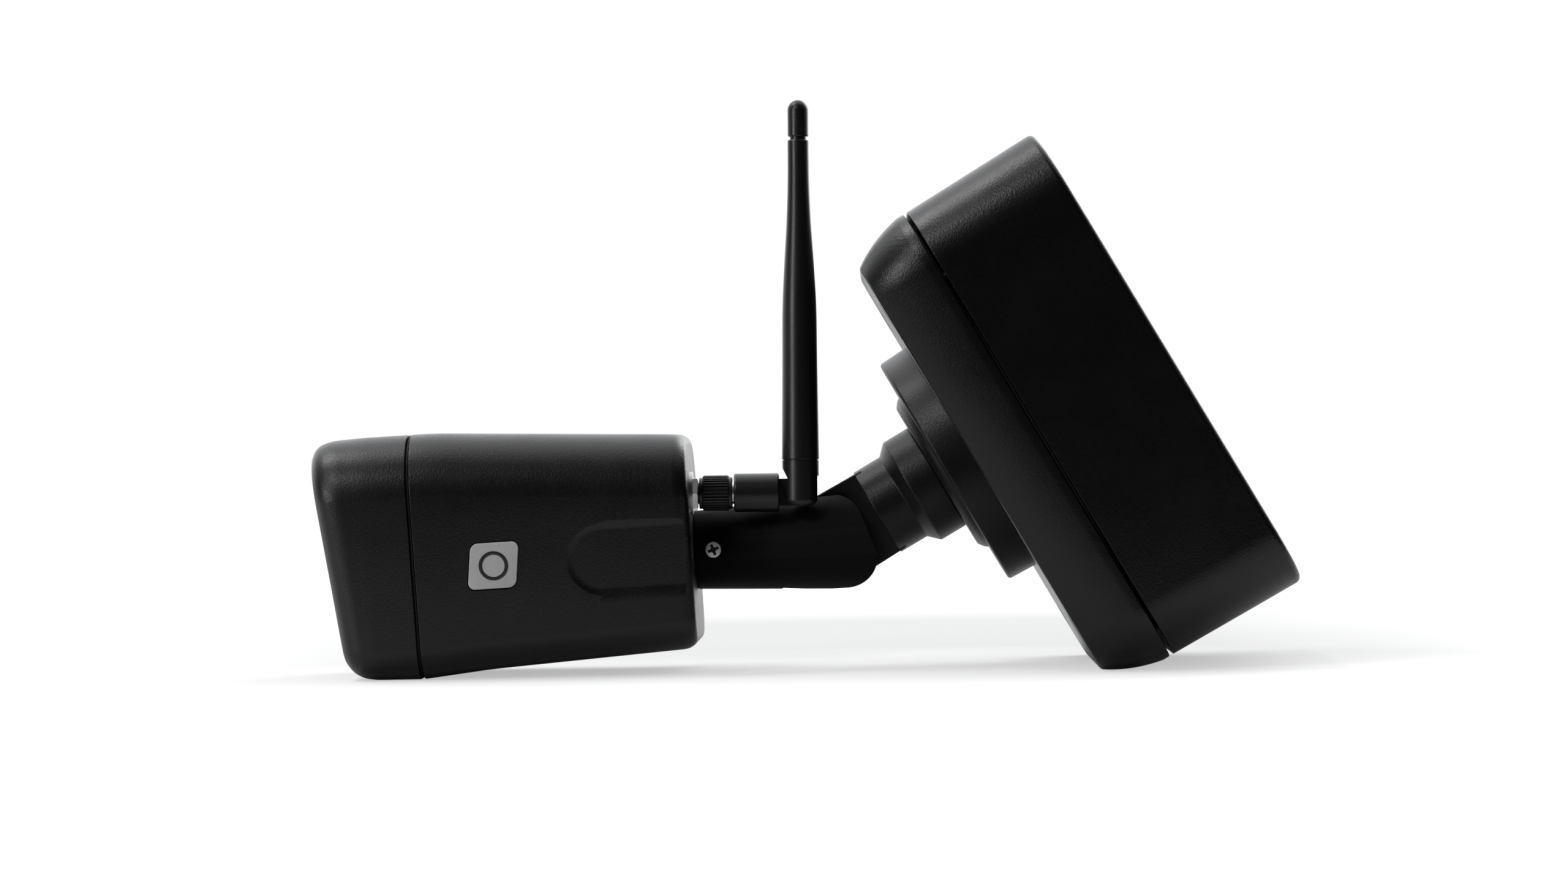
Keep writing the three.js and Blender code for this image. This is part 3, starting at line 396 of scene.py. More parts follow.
def moulded(name, color, roughness, grain_mm=0.4, relief_mm=0.018, wear=0.5, spread=0.06, shine=0.42):
    """Textured moulded plastic: a pebble grain, faint mottling and edges rubbed slightly lighter."""
    n = Look(name)
    pebbles = n.cells(grain_mm)
    fine = n.noise(grain_mm * 0.45, 2.0)
    mottle = n.noise(14, 4.0)
    lighter = tuple(c * 1.9 + 0.0015 for c in color)
    darker = tuple(c * 0.8 for c in color)
    body = n.mix(n.remap(mottle, 0.3, 0.7, 0, 1), darker, color)
    rubbed = n.math("MULTIPLY", n.edges(), wear)
    n.set(Base_Color=n.mix(rubbed, body, lighter))
    rough = n.math("ADD", n.remap(mottle, 0.3, 0.7, roughness - spread / 2, roughness + spread / 2),
                   n.remap(pebbles, 0.1, 0.7, -spread / 2, spread / 2))
    n.set(Roughness=n.math("SUBTRACT", rough, n.math("MULTIPLY", rubbed, 0.08)))
    n.set(Normal=n.bump(n.math("ADD", pebbles, n.math("MULTIPLY", fine, 0.5)), relief_mm))
    n.set(IOR=1.49, Specular_IOR_Level=shine)
    return n.owner


def metal(name, color, roughness, scratch_mm=0.25):
    """Plated or turned metal with fine marks and a little tarnish."""
    n = Look(name)
    marks = n.noise(scratch_mm, 3.0, 0.6)
    tarnish = n.noise(3, 4.0)
    dull = tuple(c * 0.72 for c in color)
    n.set(Base_Color=n.mix(n.remap(tarnish, 0.35, 0.75, 0, 0.8), color, dull), Metallic=1.0)
    rough = n.math("ADD", n.remap(marks, 0.3, 0.7, roughness * 0.75, roughness * 1.3),
                   n.remap(tarnish, 0.4, 0.8, 0, 0.1))
    n.set(Roughness=rough, Normal=n.bump(marks, 0.003))
    return n.owner


def clear(name, color, roughness=0.04, ior=1.5, transmission=1.0):
    """Clear or tinted resin with faint smears."""
    n = Look(name)
    smear = n.noise(5, 3.0)
    n.set(Base_Color=n.mix(smear, color, tuple(c * 0.9 for c in color)))
    n.set(Roughness=n.remap(smear, 0.3, 0.7, roughness, roughness + 0.05))
    n.set(IOR=ior, Transmission_Weight=transmission)
    n.set(Normal=n.bump(n.noise(1.2, 2.0), 0.001))
    return n.owner


def rubber(name, color):
    n = Look(name)
    grain = n.noise(0.3, 4.0)
    dust = n.noise(6, 5.0)
    n.set(Base_Color=n.mix(n.remap(dust, 0.45, 0.8, 0, 0.5), color, tuple(c * 2 + 0.01 for c in color)))
    n.set(Roughness=n.remap(grain, 0.3, 0.7, 0.72, 0.9), Normal=n.bump(grain, 0.02))
    return n.owner


def board_green(name):
    """Solder mask over copper tracks."""
    n = Look(name)
    tracks = n.add("ShaderNodeTexBrick", {"Vector": n.place}, Scale=260, Mortar_Size=0.06)
    copper = n.remap(tracks.outputs["Fac"], 0, 1, 0, 0.35)
    n.set(Base_Color=n.mix(copper, (0.012, 0.09, 0.03), (0.06, 0.22, 0.07)))
    n.set(Roughness=n.remap(n.noise(2), 0.3, 0.7, 0.3, 0.45), Normal=n.bump(tracks.outputs["Fac"], 0.02))
    return n.owner


def wrapped_cell(name):
    n = Look(name)
    wrinkles = n.noise(2.5, 3.0, stretch=(0.4, 3, 3))
    n.set(Base_Color=n.mix(n.noise(9), (0.03, 0.1, 0.33), (0.05, 0.14, 0.42)))
    n.set(Roughness=n.remap(wrinkles, 0.3, 0.7, 0.22, 0.4), Normal=n.bump(wrinkles, 0.05))
    return n.owner


BOX_PLASTIC = moulded("box_plastic", (0.0018, 0.0018, 0.0019), 0.34, 0.5, 0.04, shine=0.4)
BLACK_PLASTIC = moulded("black_plastic", (0.0026, 0.0026, 0.0028), 0.36, 0.5, 0.035, shine=0.38)
BRACKET_PLASTIC = moulded("bracket_plastic", (0.0026, 0.0026, 0.0028), 0.4, 0.5, 0.03, shine=0.3)
# painted shade: the arm gets a darker copy of the black plastic with little shine, standing in for the shade
# of the antenna above it
SHADED_ARM_PLASTIC = moulded("arm_plastic", (0.0022, 0.0022, 0.0024), 0.6, 0.5, 0.03, shine=0.1)
TONGUE_PLASTIC = moulded("tongue_plastic", (0.0025, 0.0025, 0.0025), 0.55, 0.34, 0.012)
ANTENNA_PLASTIC = moulded("antenna_plastic", (0.0065, 0.0065, 0.007), 0.34, 0.3, 0.012, spread=0.04)
FACE_BLACK = moulded("face_black", (0.006, 0.006, 0.006), 0.3, 0.3, 0.004, spread=0.04)
BADGE_GREY = moulded("badge_grey", (0.62, 0.62, 0.62), 0.45, 0.3, 0.004, wear=0.2)
BADGE_MARK = moulded("badge_mark", (0.02, 0.02, 0.021), 0.4, 0.3, 0.004, wear=0.2)
RUBBER = rubber("rubber", (0.008, 0.008, 0.008))
STEEL = metal("steel", (0.5, 0.5, 0.49), 0.3)
NICKEL = metal("bright_nickel", (0.95, 0.95, 0.93), 0.34, 0.4)
BRASS = metal("brass", (0.62, 0.45, 0.18), 0.25)
DARK_STEEL = metal("dark_steel", (0.045, 0.045, 0.047), 0.38)
WINDOW = clear("window", (0.16, 0.17, 0.18), 0.03)
LENS = clear("lens", (0.35, 0.33, 0.6), 0.02, 1.62)
RESIN = clear("led_resin", (0.85, 0.85, 0.82), 0.08, 1.5, 0.7)
DOME = moulded("dome", (0.62, 0.62, 0.59), 0.35, 0.8, 0.004, wear=0.1)
BOARD = board_green("board")
CELL = wrapped_cell("cell")


# ---- base box


def curve(a, b, c, steps):
    """A quadratic curve from a to c, drawn towards b."""
    a, b, c = Vector(a), Vector(b), Vector(c)
    times = [i / steps for i in range(steps + 1)]
    return [tuple(a * (1 - t) ** 2 + b * 2 * t * (1 - t) + c * t**2) for t in times]


BACK_LOW, BACK_HIGH = span("rear_shell", BRACKET)
LID_LOW, LID_HIGH = span("lid_shell", BRACKET)
BOX_SHORTER = 0.4  # taken off the box's length, at its lower end
BOX_CENTRE = (BACK_HIGH.x + BACK_LOW.x - BOX_SHORTER) / 2
BOX_TRIM = 1.4  # how much smaller the outline is than the CAD's on every side
BOX_CORNER = 17  # the corners' radius
BOX_BENDS = 26  # steps round each corner
BOX_STRAIGHT = 12  # steps along each straight side
BOX_DRAFT = 0.7  # how much smaller the outline is at the seam than at the wall
BOX_WALL = 2.8
BOX_EDGE = 1.8  # radius of the edge at the wall
LID_INSET = 6.4  # how far in from the seam's outline the lid's flat face starts
LID_BULGE = (1.7, 6.6)  # where the rim's curve is drawn towards: inset, and height above the face
LID_BULK = 1.6  # how far the lid comes out past the CAD's
LIP = 0.3  # rounded edge along the seam
SCREW_SINK = 3.5  # radius
SCREW_BORE = 1.8  # radius
STEM_BORE = 8.3  # radius of the hole that the swivel's stem turns in
WALL_HOLE = (56, 12)
WALL_HOLE_RADIUS = 2.25
PORT = (15, 8)
PORT_AT = 83


def box_ring(height, inset):
    """The box's outline, drawn in by inset, at a height along the bracket's axis."""
    length = BACK_HIGH.x - BACK_LOW.x - BOX_SHORTER - 2 * (BOX_TRIM + inset)
    width = BACK_HIGH.y - BACK_LOW.y - 2 * (BOX_TRIM + inset)
    points = rectangle(length, width, BOX_CORNER - inset, BOX_BENDS)
    step = BOX_BENDS + 1
    bends = [points[k * step:(k + 1) * step] for k in range(4)]
    return [(BOX_CENTRE + x, y, height) for x, y in with_straights(bends, BOX_STRAIGHT)]


def box_loft(name, profile):
    return loft(name, [box_ring(z, inset) for inset, z in profile], BRACKET)


def bore(radius, low, high, matrix, segments=40):
    """A plain rod to cut a hole with."""
    return turned("bore", [(0, low), (radius, low), (radius, high), (0, high)], matrix, segments)


def port_slot(margin):
    """The charging port's outline, and a frame that points out through the lower wall."""
    outline = rectangle(PORT[1] - 2 * margin, PORT[0] - 2 * margin, PORT[1] / 2 - 0.4 - margin, 10)
    return outline, BRACKET @ shift(BOX_CENTRE, 0, PORT_AT) @ turn(90, "Y")


def back_case():
    seam, back = BACK_LOW.z, BACK_HIGH.z
    edge = arc(BOX_EDGE, back - BOX_EDGE, BOX_EDGE, 180, 90, 6)
    obj = box_loft("back_case", [
        (BOX_WALL + 3, back - BOX_WALL), (BOX_WALL + 0.8, back - BOX_WALL - 0.6),
        (BOX_WALL, back - BOX_WALL - 3), (BOX_DRAFT + BOX_WALL, seam), (BOX_DRAFT + LIP, seam),
        (BOX_DRAFT + LIP * 0.3, seam + LIP * 0.3), (BOX_DRAFT, seam + LIP), *edge, (BOX_EDGE + 3, back),
    ])
    groove = box_loft("groove", [(9, back - 0.5), (9, back + 1)])
    combine(groove, [box_loft("island", [(10.2, back - 1), (10.2, back + 2)])])
    holes = []
    for i, j in ((-1, -1), (-1, 1), (1, -1), (1, 1)):
        spot = BRACKET @ shift(BOX_CENTRE + i * WALL_HOLE[0], j * WALL_HOLE[1])
        holes.append(bore(WALL_HOLE_RADIUS, back - 6, back + 1, spot))
    outline, matrix = port_slot(0)
    combine(obj, [groove, *holes, slab("slot", outline, 60, 80, matrix, 0)])
    soften(obj, 0.25, 2, 50)
    piece(obj, "base_box", BOX_PLASTIC, "box_plastic", "rear_shell")


def lid_case():
    face, seam = LID_LOW.z - LID_BULK, LID_HIGH.z
    rim = curve((LID_INSET, face), (LID_BULGE[0], face + LID_BULGE[1]), (0, seam - 2), 20)
    rim = [(BOX_DRAFT + inset, z) for inset, z in reversed(rim)]
    corner = rounded([rim[-3], (BOX_DRAFT + LID_INSET, face), (BOX_DRAFT + LID_INSET + 3, face)], 1.2, 5)
    obj = box_loft("lid_case", [
        (BOX_DRAFT + BOX_WALL + 4, LID_LOW.z + BOX_WALL), (BOX_DRAFT + BOX_WALL + 0.6, LID_LOW.z + 8),
        (BOX_DRAFT + BOX_WALL, seam), (BOX_DRAFT + LIP, seam), (BOX_DRAFT + LIP * 0.3, seam - LIP * 0.3),
        (BOX_DRAFT, seam - LIP), *rim[:-3], *corner,
    ])
    cuts = [bore(STEM_BORE, face - 1, face + 6, BRACKET, 64)]
    for i in range(4):
        x, y, _ = node_middle(f"lid_screw_{i + 1}", BRACKET)
        cuts.append(bore(SCREW_BORE, face + 1, face + 8, BRACKET @ shift(x, y)))
        cuts.append(bore(SCREW_SINK, face - 1, face + 2.6, BRACKET @ shift(x, y)))
    for i in range(4):
        x, y, _ = node_middle(f"flange_screw_{i + 1}", BRACKET)
        cuts.append(bore(SCREW_BORE, face - 1, face + 8, BRACKET @ shift(x, y)))
    combine(obj, cuts)
    soften(obj, 0.25, 2, 50)
    piece(obj, "base_box", BOX_PLASTIC, "box_plastic", "lid_shell")


def port_cover():
    """A rubber plug with a raised lip to pull it by."""
    outline, matrix = port_slot(0.3)
    out = span("port_plug", BRACKET)[1].x - BOX_CENTRE - 0.25
    obj = slab("port_cover", outline, out - 3.4, out, matrix, 0.5, 4)
    lip = rectangle(1.6, PORT[0] - 6, 0.75, 6)
    grip = slab("grip", lip, out - 1, out + 0.9, matrix @ shift(2), 0.4, 3)
    combine(obj, [grip], "UNION")
    piece(obj, "base_box", RUBBER, "rubber", "port_plug")


# ---- fasteners


def cross(arm, width):
    """A plus-shaped outline with small fillets."""
    a, w = arm / 2, width / 2
    quarter = [(a, -w), (a, w), (w, w)]
    points = []
    for k in range(4):
        c, s = round(math.cos(k * math.pi / 2)), round(math.sin(k * math.pi / 2))
        points += [(x * c - y * s, x * s + y * c) for x, y in quarter]
    return rounded(points, width * 0.25, 3, closed=True)


def cross_screw(name, radius, height, shank, length, matrix):
    """A pan head below z = 0 with a cross recess, and its shank above."""
    crown = [(0, -height), (radius * 0.92, -height * 0.97), (radius, -height * 0.5), (radius, 0)]
    crown = rounded(crown, radius * 0.14, 6)
    profile = crown + [(shank, 0), (shank, length - shank), (shank * 0.3, length), (0, length)]
    obj = turned(name, profile, matrix, 48)
    recess = slab("recess", cross(radius * 1.25, radius * 0.3), -height - 1, -height * 0.15, matrix, 0)
    middle_cut = cross(radius * 0.62, radius * 0.5)
    ring = slab("ring", middle_cut, -height - 1, -height * 0.4, matrix @ turn(45, "Z"), 0)
    combine(obj, [recess, ring])
    return obj


def base_screws():
    kinds = [("case_screw", "lid_screw", 2.2, 24, 17), ("bracket_screw", "flange_screw", 2.4, 12, 31)]
    for i in range(4):
        for name, node, height, length, twist in kinds:
            x, y, _ = node_middle(f"{node}_{i + 1}", BRACKET)
            z = span(f"{node}_{i + 1}", BRACKET)[0].z + height
            spot = BRACKET @ shift(x, y, z) @ turn(twist * i, "Z")
            obj = cross_screw(f"{name}_{i + 1}", 3.1, height, 1.5, length, spot)
            piece(obj, "base_box", DARK_STEEL, "steel", f"{node}_{i + 1}")


# ---- bracket


KNUCKLE_RADIUS = 12.45
KNUCKLE_END = 15.2  # where the tongue meets the neck
TONGUE_HALF = 4.7  # half the tongue's thickness
DISC_RAISE = 0.9  # how far the disc's face is above the CAD's
DISC_GROW = 0.6  # how much larger the disc's radius is than the CAD's
COLLAR_GROW = 1.2


def mounting_disc():
    low, high = span("flange_disc", BRACKET)
    r, face = high.y, low.z - DISC_RAISE
    profile = rounded([(STEM_BORE, high.z), (STEM_BORE, face), (r - 0.3, face), (r + 0.2, face + 0.5),
                       (r + DISC_GROW, high.z)], [0, 0.2, 0.4, 0.4, 0], 4)
    obj = turned("mounting_disc", profile, BRACKET, 144, wrap=True)
    cuts = []
    for i in range(4):
        x, y, _ = node_middle(f"flange_screw_{i + 1}", BRACKET)
        cuts.append(bore(SCREW_BORE, face - 1, high.z + 1, BRACKET @ shift(x, y)))
        cuts.append(bore(SCREW_SINK, face - 1, low.z + 3.4, BRACKET @ shift(x, y)))
    combine(obj, cuts)
    soften(obj, 0.2, 2, 50)
    piece(obj, "base_box", BRACKET_PLASTIC, "black_plastic", "flange_disc")


def swivel_collar():
    low, high = span("pan_collar", BRACKET)
    r = high.y + COLLAR_GROW
    profile = rounded([(STEM_BORE, high.z), (STEM_BORE, low.z), (r - 2.7, low.z), (r - 1, low.z + 1.3),
                       (r, high.z)], [0, 0.2, 0.5, 0.6, 0], 4)
    obj = turned("swivel_collar", profile, BRACKET, 128, wrap=True)
    piece(obj, "base_box", BRACKET_PLASTIC, "black_plastic", "pan_collar")


def swivel_neck():
    """The swivel's foot, neck and stem, one moulding with the tongue that the arm straddles."""
    high = span("swivel_knuckle", BRACKET)[1].z
    profile = rounded([(0, KNUCKLE_END), (12.55, KNUCKLE_END), (12.55, 23.5), (15.4, 26.4), (15.4, 34.1),
                       (8, 34.1), (8, high), (4.5, high), (4.5, 23.5), (0, 23.5)],
                      [0, 0.35, 0.3, 0.35, 0.3, 0.3, 0.5, 0.3, 0.3, 0], 4)
    obj = turned("swivel_neck", profile, BRACKET, 128)
    k = KNUCKLE_RADIUS
    outline = [(k, 0), (k - 0.4, 17.2), (-k + 0.4, 17.2)] + arc(0, 0, k, 180, 360, 48)[:-1]
    tongue = slab("tongue", outline, -TONGUE_HALF, TONGUE_HALF, BRACKET @ ACROSS, 0.45, 4)
    combine(obj, [tongue], "UNION")
    combine(obj, [bore(2.7, -20, 20, BRACKET @ ACROSS, 48)])
    piece(obj, "swivel", BRACKET_PLASTIC, "black_plastic", "swivel_knuckle", angle=28)
    refinish(obj, TONGUE_PLASTIC, BRACKET, lambda spot: spot.z < KNUCKLE_END - 0.05 and spot.length < 20)


# ---- arm


ARM_END_RADIUS = 10.6
ARM_KNUCKLE = (12.4, 13.9)  # half height and half width at the tilt axis
SLOT_HALF = 5  # half the width of the slot between the arm's ears
SLOT_DEPTH = 13.4
ARM_LENGTH = span("arm_tube", HEAD)[1].z


def arm_reach(z, at_knuckle):
    return at_knuckle + (ARM_END_RADIUS - at_knuckle) * z / ARM_LENGTH


def arm_outline():
    """Side view: flats above and below, and a knuckle end that leans back."""
    end = ARM_LENGTH + 1
    up = ARM_KNUCKLE[0]
    heel = arc(-3.9, -4.2, 8.8, 180, 270, 32)
    chin = curve((7, -9.2), (11, -7.9), (arm_reach(-3.4, up), -3.4), 12)
    return [(arm_reach(end, up), end), (-arm_reach(end, up), end), (heel[0][0], 0), *heel, *chin]


def across(radius, low, high, segments=48):
    """A rod across the arm."""
    return bore(radius, low, high, HEAD @ ACROSS, segments)


def bracket_arm():
    tip = ARM_LENGTH
    end = rounded([(arm_reach(-14, ARM_KNUCKLE[1]), -14), (ARM_END_RADIUS, tip), (0, tip)], 0.9, 6)
    obj = turned("bracket_arm", [(0, -14), *end], HEAD, 160)
    combine(obj, [slab("profile", arm_outline(), -20, 20, HEAD @ ACROSS, 0)], "INTERSECT")
    soften(obj, 0.7, 5, 15)
    gap = [(-20, -20), (20, -20), (20, SLOT_DEPTH), (-20, SLOT_DEPTH)]
    lock = HEAD @ shift(0, 0, node_middle("lock_screw").z) @ ACROSS
    combine(obj, [
        slab("gap", gap, -SLOT_HALF, SLOT_HALF, HEAD @ ACROSS, 0),
        across(2.8, -9.8, 20),
        across(4.5, 8.3, 20, 64),
        bore(SPIGOT_BORE, tip - 18.5, tip + 1, HEAD, 64),
        bore(2.9, -20, -8.3, lock, 64),
        bore(1.4, -12, 0, lock, 32),
    ])
    soften(obj, 0.22, 2, 40)
    # the arm's material is the darker copy of the black plastic, with painted shade
    piece(obj, "arm", SHADED_ARM_PLASTIC, "black_plastic", "arm_tube", angle=30)


def hexagon(flats):
    return arc(0, 0, flats / math.sqrt(3), 0, 360, 6)[:6]


def pivot_bolt():
    low, high = span("tilt_bolt", HEAD)
    r = high.x
    head = rounded([(0, high.y), (r, high.y), (r, 8.6), (2.5, 8.6)], [0, 0.7, 0.2, 0], 5)
    obj = turned("pivot_bolt", [*head, (2.5, low.y + 0.4), (2.1, low.y), (0, low.y)], HEAD @ ACROSS, 72)
    combine(obj, [slab("socket", hexagon(4), high.y - 1.8, high.y + 1, HEAD @ ACROSS, 0)])
    soften(obj, 0.12, 2, 40)
    piece(obj, "arm", STEEL, "steel", "tilt_bolt")


def arm_lock_screw():
    """The bright screw in the arm's side, with painted shade inside its cross: the recess faces get dark
    steel.
    """
    low, high = span("lock_screw", HEAD)
    centre, crown = (low + high) / 2, 1.4
    spot = HEAD @ shift(centre.x, low.y + crown, centre.z) @ ACROSS
    obj = cross_screw("arm_lock_screw", (high.x - low.x) / 2, crown, 1.2, 2.9, spot @ turn(18, "Z"))
    piece(obj, "arm", NICKEL, "bright_nickel", "lock_screw")
    # painted shade: dark steel on the faces inside the cross recess, standing in for the shade that falls
    # there
    refinish(obj, DARK_STEEL, spot, lambda p: 0.2 - crown < p.z < 0 and math.hypot(p.x, p.y) < 1.5)


# ---- head


HEAD_REAR, HEAD_SEAM = (corner.z for corner in span("head_housing", HEAD))
PIVOT_HEIGHT = HEAD.translation.z / MM
HEAD_SLOPE = 0.04541  # tangent of the head axis's fall towards the front
HOOD_START = span("front_hood", HEAD)[0].z
HOOD_FRONT = 133.7
HEAD_WALL = 2.4
REAR_BULGE = 0.6  # how far the rear face is past the CAD's
REAR_HALF = 31.5  # half widths at the rear and at the seam
FRONT_HALF = 33.5
SIDE_LEAN = 3.2  # how far in each side leans, from top to bottom
TOP_RADIUS = 17
BOTTOM_RADIUS = 9
HOOD_RAKE = 0.11  # how far the rim leans forward at the top, for each millimetre of height
RIM_WIDTH = 7.5
SIDE_TAPER = math.degrees(math.atan(0.025))
HEAD_STRAIGHT = 6  # steps along each straight side of a head ring
SPIGOT_BORE = 6.3  # radius of the hole for the roll spigot
JACK_BORE = 3.35  # radius of the hole for the antenna's jack
DOOR_SCREWS = ("door_screw_1", "door_screw_2")


def head_top(z):
    return 31.6 + (z - HEAD_REAR) * 4.6 / 67 if z < 104 else 36.2


def head_bottom(z):
    if z >= HEAD_SEAM:
        return -PIVOT_HEIGHT * math.hypot(1, HEAD_SLOPE) + z * HEAD_SLOPE
    if z > 92:
        return -27.9 - (z - 92) * 1.45 / 18
    return -25.8 - (z - HEAD_REAR) * 2.1 / 55


def head_half(z):
    along = max(0, min(1, (z - HEAD_REAR) / (HEAD_SEAM - HEAD_REAR)))
    return REAR_HALF + (FRONT_HALF - REAR_HALF) * along


def head_ring(z, inset, rake=0.0, at=None, steps=18):
    """One ring of the head: round top corners, tighter bottom ones and sides that lean in downwards."""
    top, bottom, half = head_top(z) - inset, head_bottom(z) + inset, head_half(z) - inset
    big, small = max(TOP_RADIUS - inset, 2), max(BOTTOM_RADIUS - inset, 2)
    low_side = half - SIDE_LEAN - small
    corners = [(top - big, half - big, big, 0), (bottom + small, low_side, small, 90),
               (bottom + small, -low_side, small, 180), (top - big, big - half, big, 270)]
    bends = [arc(x, y, radius, start, start + 90, steps) for x, y, radius, start in corners]
    outline = with_straights(bends, HEAD_STRAIGHT)
    return [(x, y, (z if at is None else at) + rake * x) for x, y in outline]


def head_loft(name, profile, wrap=False):
    """A skin through head rings given as (height, inset) or (height, inset, rake)."""
    return loft(name, [head_ring(*stop) for stop in profile], HEAD, wrap)


def on_side(side, z):
    """A side wall's frame: its outer face on y = 0, x up and z along the head."""
    upper, lower = head_top(z) - TOP_RADIUS, head_bottom(z) + BOTTOM_RADIUS
    slope = SIDE_LEAN / (upper - lower)
    out = side * (head_half(z) - slope * upper)
    lean = turn(-side * SIDE_TAPER, "X") @ turn(side * math.degrees(math.atan(slope)), "Z")
    return HEAD @ shift(0, out, z) @ lean @ ACROSS


def side_recess(side):
    """The rounded recess in each side, open to the rear."""
    top, bottom, front = 9.6, -10, 60
    centre, radius = (top + bottom) / 2, (top - bottom) / 2
    at = front - radius
    back = HEAD_REAR - 5 - at
    outline = [(top, back), *arc(centre, radius, radius, 0, 180, 40), (bottom, back)]
    soft_edge = [(4, 0), (0.05, 0), (-0.18, 0.5), (-0.42, 1.2), (-0.6, 2.2)]  # height and inset
    rings = [[(*p, side * height) for p in inset_outline(outline, inset)] for height, inset in soft_edge]
    return loft("recess", rings, on_side(side, at))


BADGE_AT = node_middle("side_badge").z
BADGE = (12.3, 12.9)
BADGE_LEAN = -0.12  # how far the upright sides lean, for each millimetre of height


def badge_outline(margin):
    """A square inlay whose upright sides lean."""
    square = rectangle(BADGE[0] + 2 * margin, BADGE[1] + 2 * margin, 2 + margin, 8)
    return [(x, y + BADGE_LEAN * x) for x, y in square]


def case_dimple(side):
    x, z = -22.4, 104.1
    return bore(1, -3, 3, HEAD @ shift(x, side * (head_half(z) + 0.4), z) @ ACROSS, 32)


DOOR_LOW, DOOR_HIGH = span("card_door", HEAD)
DOOR_POCKET = DOOR_HIGH.x + 0.3


def head_case():
    rear = HEAD_REAR - REAR_BULGE
    edge = [(rear + 4 * (1 - math.cos(a)), 2.8 * (1 - math.sin(a))) for a in [*quarter(7), math.pi / 2]]
    skin = [(HEAD_SEAM - LIP - 4 * k, 0) for k in range(17)]
    obj = head_loft("head_case", [
        (HEAD_REAR + 3, HEAD_WALL + 5), (HEAD_REAR + 3.6, HEAD_WALL + 2.4), (HEAD_REAR + 6, HEAD_WALL + 1.6),
        (92, HEAD_WALL), (104, HEAD_WALL), (HEAD_SEAM - 0.01, HEAD_WALL),
        (HEAD_SEAM - 0.01, LIP), (HEAD_SEAM - 0.1, LIP * 0.3), *skin,
        *reversed(edge), (rear, 6),
    ])
    cuts = [side_recess(side) for side in (-1, 1)] + [case_dimple(side) for side in (-1, 1)]
    cuts.append(slab("pocket", badge_outline(0.3), -3, 1.1, on_side(-1, BADGE_AT), 0))
    cuts.append(bore(SPIGOT_BORE, HEAD_REAR - 1, HEAD_REAR + 5, HEAD, 64))
    cuts.append(bore(JACK_BORE, -8, 4, CONNECTOR, 48))
    door = rectangle(DOOR_HIGH.z - DOOR_LOW.z + 0.6, DOOR_HIGH.y - DOOR_LOW.y + 0.6, 1, 6)
    under = HEAD @ shift(0, 0, (DOOR_LOW.z + DOOR_HIGH.z) / 2) @ turn(90, "Y")
    cuts.append(slab("pocket", door, DOOR_POCKET - 10, DOOR_POCKET, under, 0))
    for node in DOOR_SCREWS:
        spot = HEAD @ shift(0, 0, node_middle(node).z) @ turn(90, "Y")
        cuts.append(bore(1.2, DOOR_POCKET - 2, DOOR_POCKET + 5, spot))
    combine(obj, cuts)
    soften(obj, 0.22, 3, 40)
    piece(obj, "head", BLACK_PLASTIC, "black_plastic", "head_housing", angle=30)


def rain_hood():
    """The front shell: a raked, rounded rim round a short tunnel."""
    f = HOOD_FRONT
    nose = rounded([(f - 14, 0, 0), (f - 11, 0, 0), (f - 5.4, 0.3, HOOD_RAKE * 0.8), (f - 2, 1.6, HOOD_RAKE),
                    (f, 5, HOOD_RAKE), (f - 0.6, 7.6, HOOD_RAKE), (f - 4, 8.15, HOOD_RAKE * 0.7)],
                   [0, 1.5, 1.5, 2, 1.6, 0.9, 0], 4)
    obj = head_loft("rain_hood", [
        (HOOD_START, HEAD_WALL), (HOOD_START, LIP), (HOOD_START + 0.1, LIP * 0.3), (HOOD_START + LIP, 0),
        *nose, (119.6, 8.85, HOOD_RAKE * 0.15), (117.7, 9, 0), (117.7, 3.4, 0),
    ], wrap=True)
    piece(obj, "head", BLACK_PLASTIC, "black_plastic", "front_hood", angle=34)


def name_badge():
    """A blank inlay with a plain ring."""
    obj = slab("blank_badge", badge_outline(0), -0.2, 0.8, on_side(-1, BADGE_AT), 0.25, 3)
    piece(obj, "head", BADGE_GREY, "badge_grey", "side_badge")
    ring = turned("badge_ring", [(3.0, -0.32), (3.0, 0), (3.9, 0), (3.9, -0.32), (3.7, -0.38), (3.2, -0.38)],
                  on_side(-1, BADGE_AT), 72, wrap=True)
    piece(ring, "head", BADGE_MARK, "badge_grey")


def card_cover():
    low, high = DOOR_LOW, DOOR_HIGH
    rings = []
    for z in (low.z, high.z):
        bottom = head_bottom(z) + 0.2
        corners = [(high.x, high.y), (bottom, high.y), (bottom, low.y), (high.x, low.y)]
        rings.append([(x, y, z) for x, y in corners])
    obj = loft("card_cover", rings, HEAD)
    soften(obj, 0.5, 4, 40)
    cuts = [bore(2.1, -31, -20, HEAD @ shift(0, 0, node_middle(node).z) @ turn(90, "Y"))
            for node in DOOR_SCREWS]
    thumb = HEAD @ shift(0, high.y, (low.z + high.z) / 2) @ turn(90, "Y")
    cuts.append(slab("thumb", rectangle(9, 3, 1.4, 6), -31, low.x + 0.9, thumb, 0))
    combine(obj, cuts)
    piece(obj, "head", RUBBER, "rubber", "card_door")
    for node in DOOR_SCREWS:
        a, b = span(node, HEAD)
        spot = HEAD @ shift(a.x + 1, (a.y + b.y) / 2, (a.z + b.z) / 2) @ turn(90, "Y")
        obj = cross_screw(node.replace("door", "cover"), (b.y - a.y) / 2, 1, 0.9, b.x - a.x - 1, spot)
        piece(obj, "head", DARK_STEEL, "steel", node)


# ---- head front


LENS_LOW, LENS_HIGH = span("lens_barrel", HEAD)
LENS_AT = (LENS_LOW.x + LENS_HIGH.x) / 2
LEDS = [f"ir_led_{i + 1}" for i in range(6)]


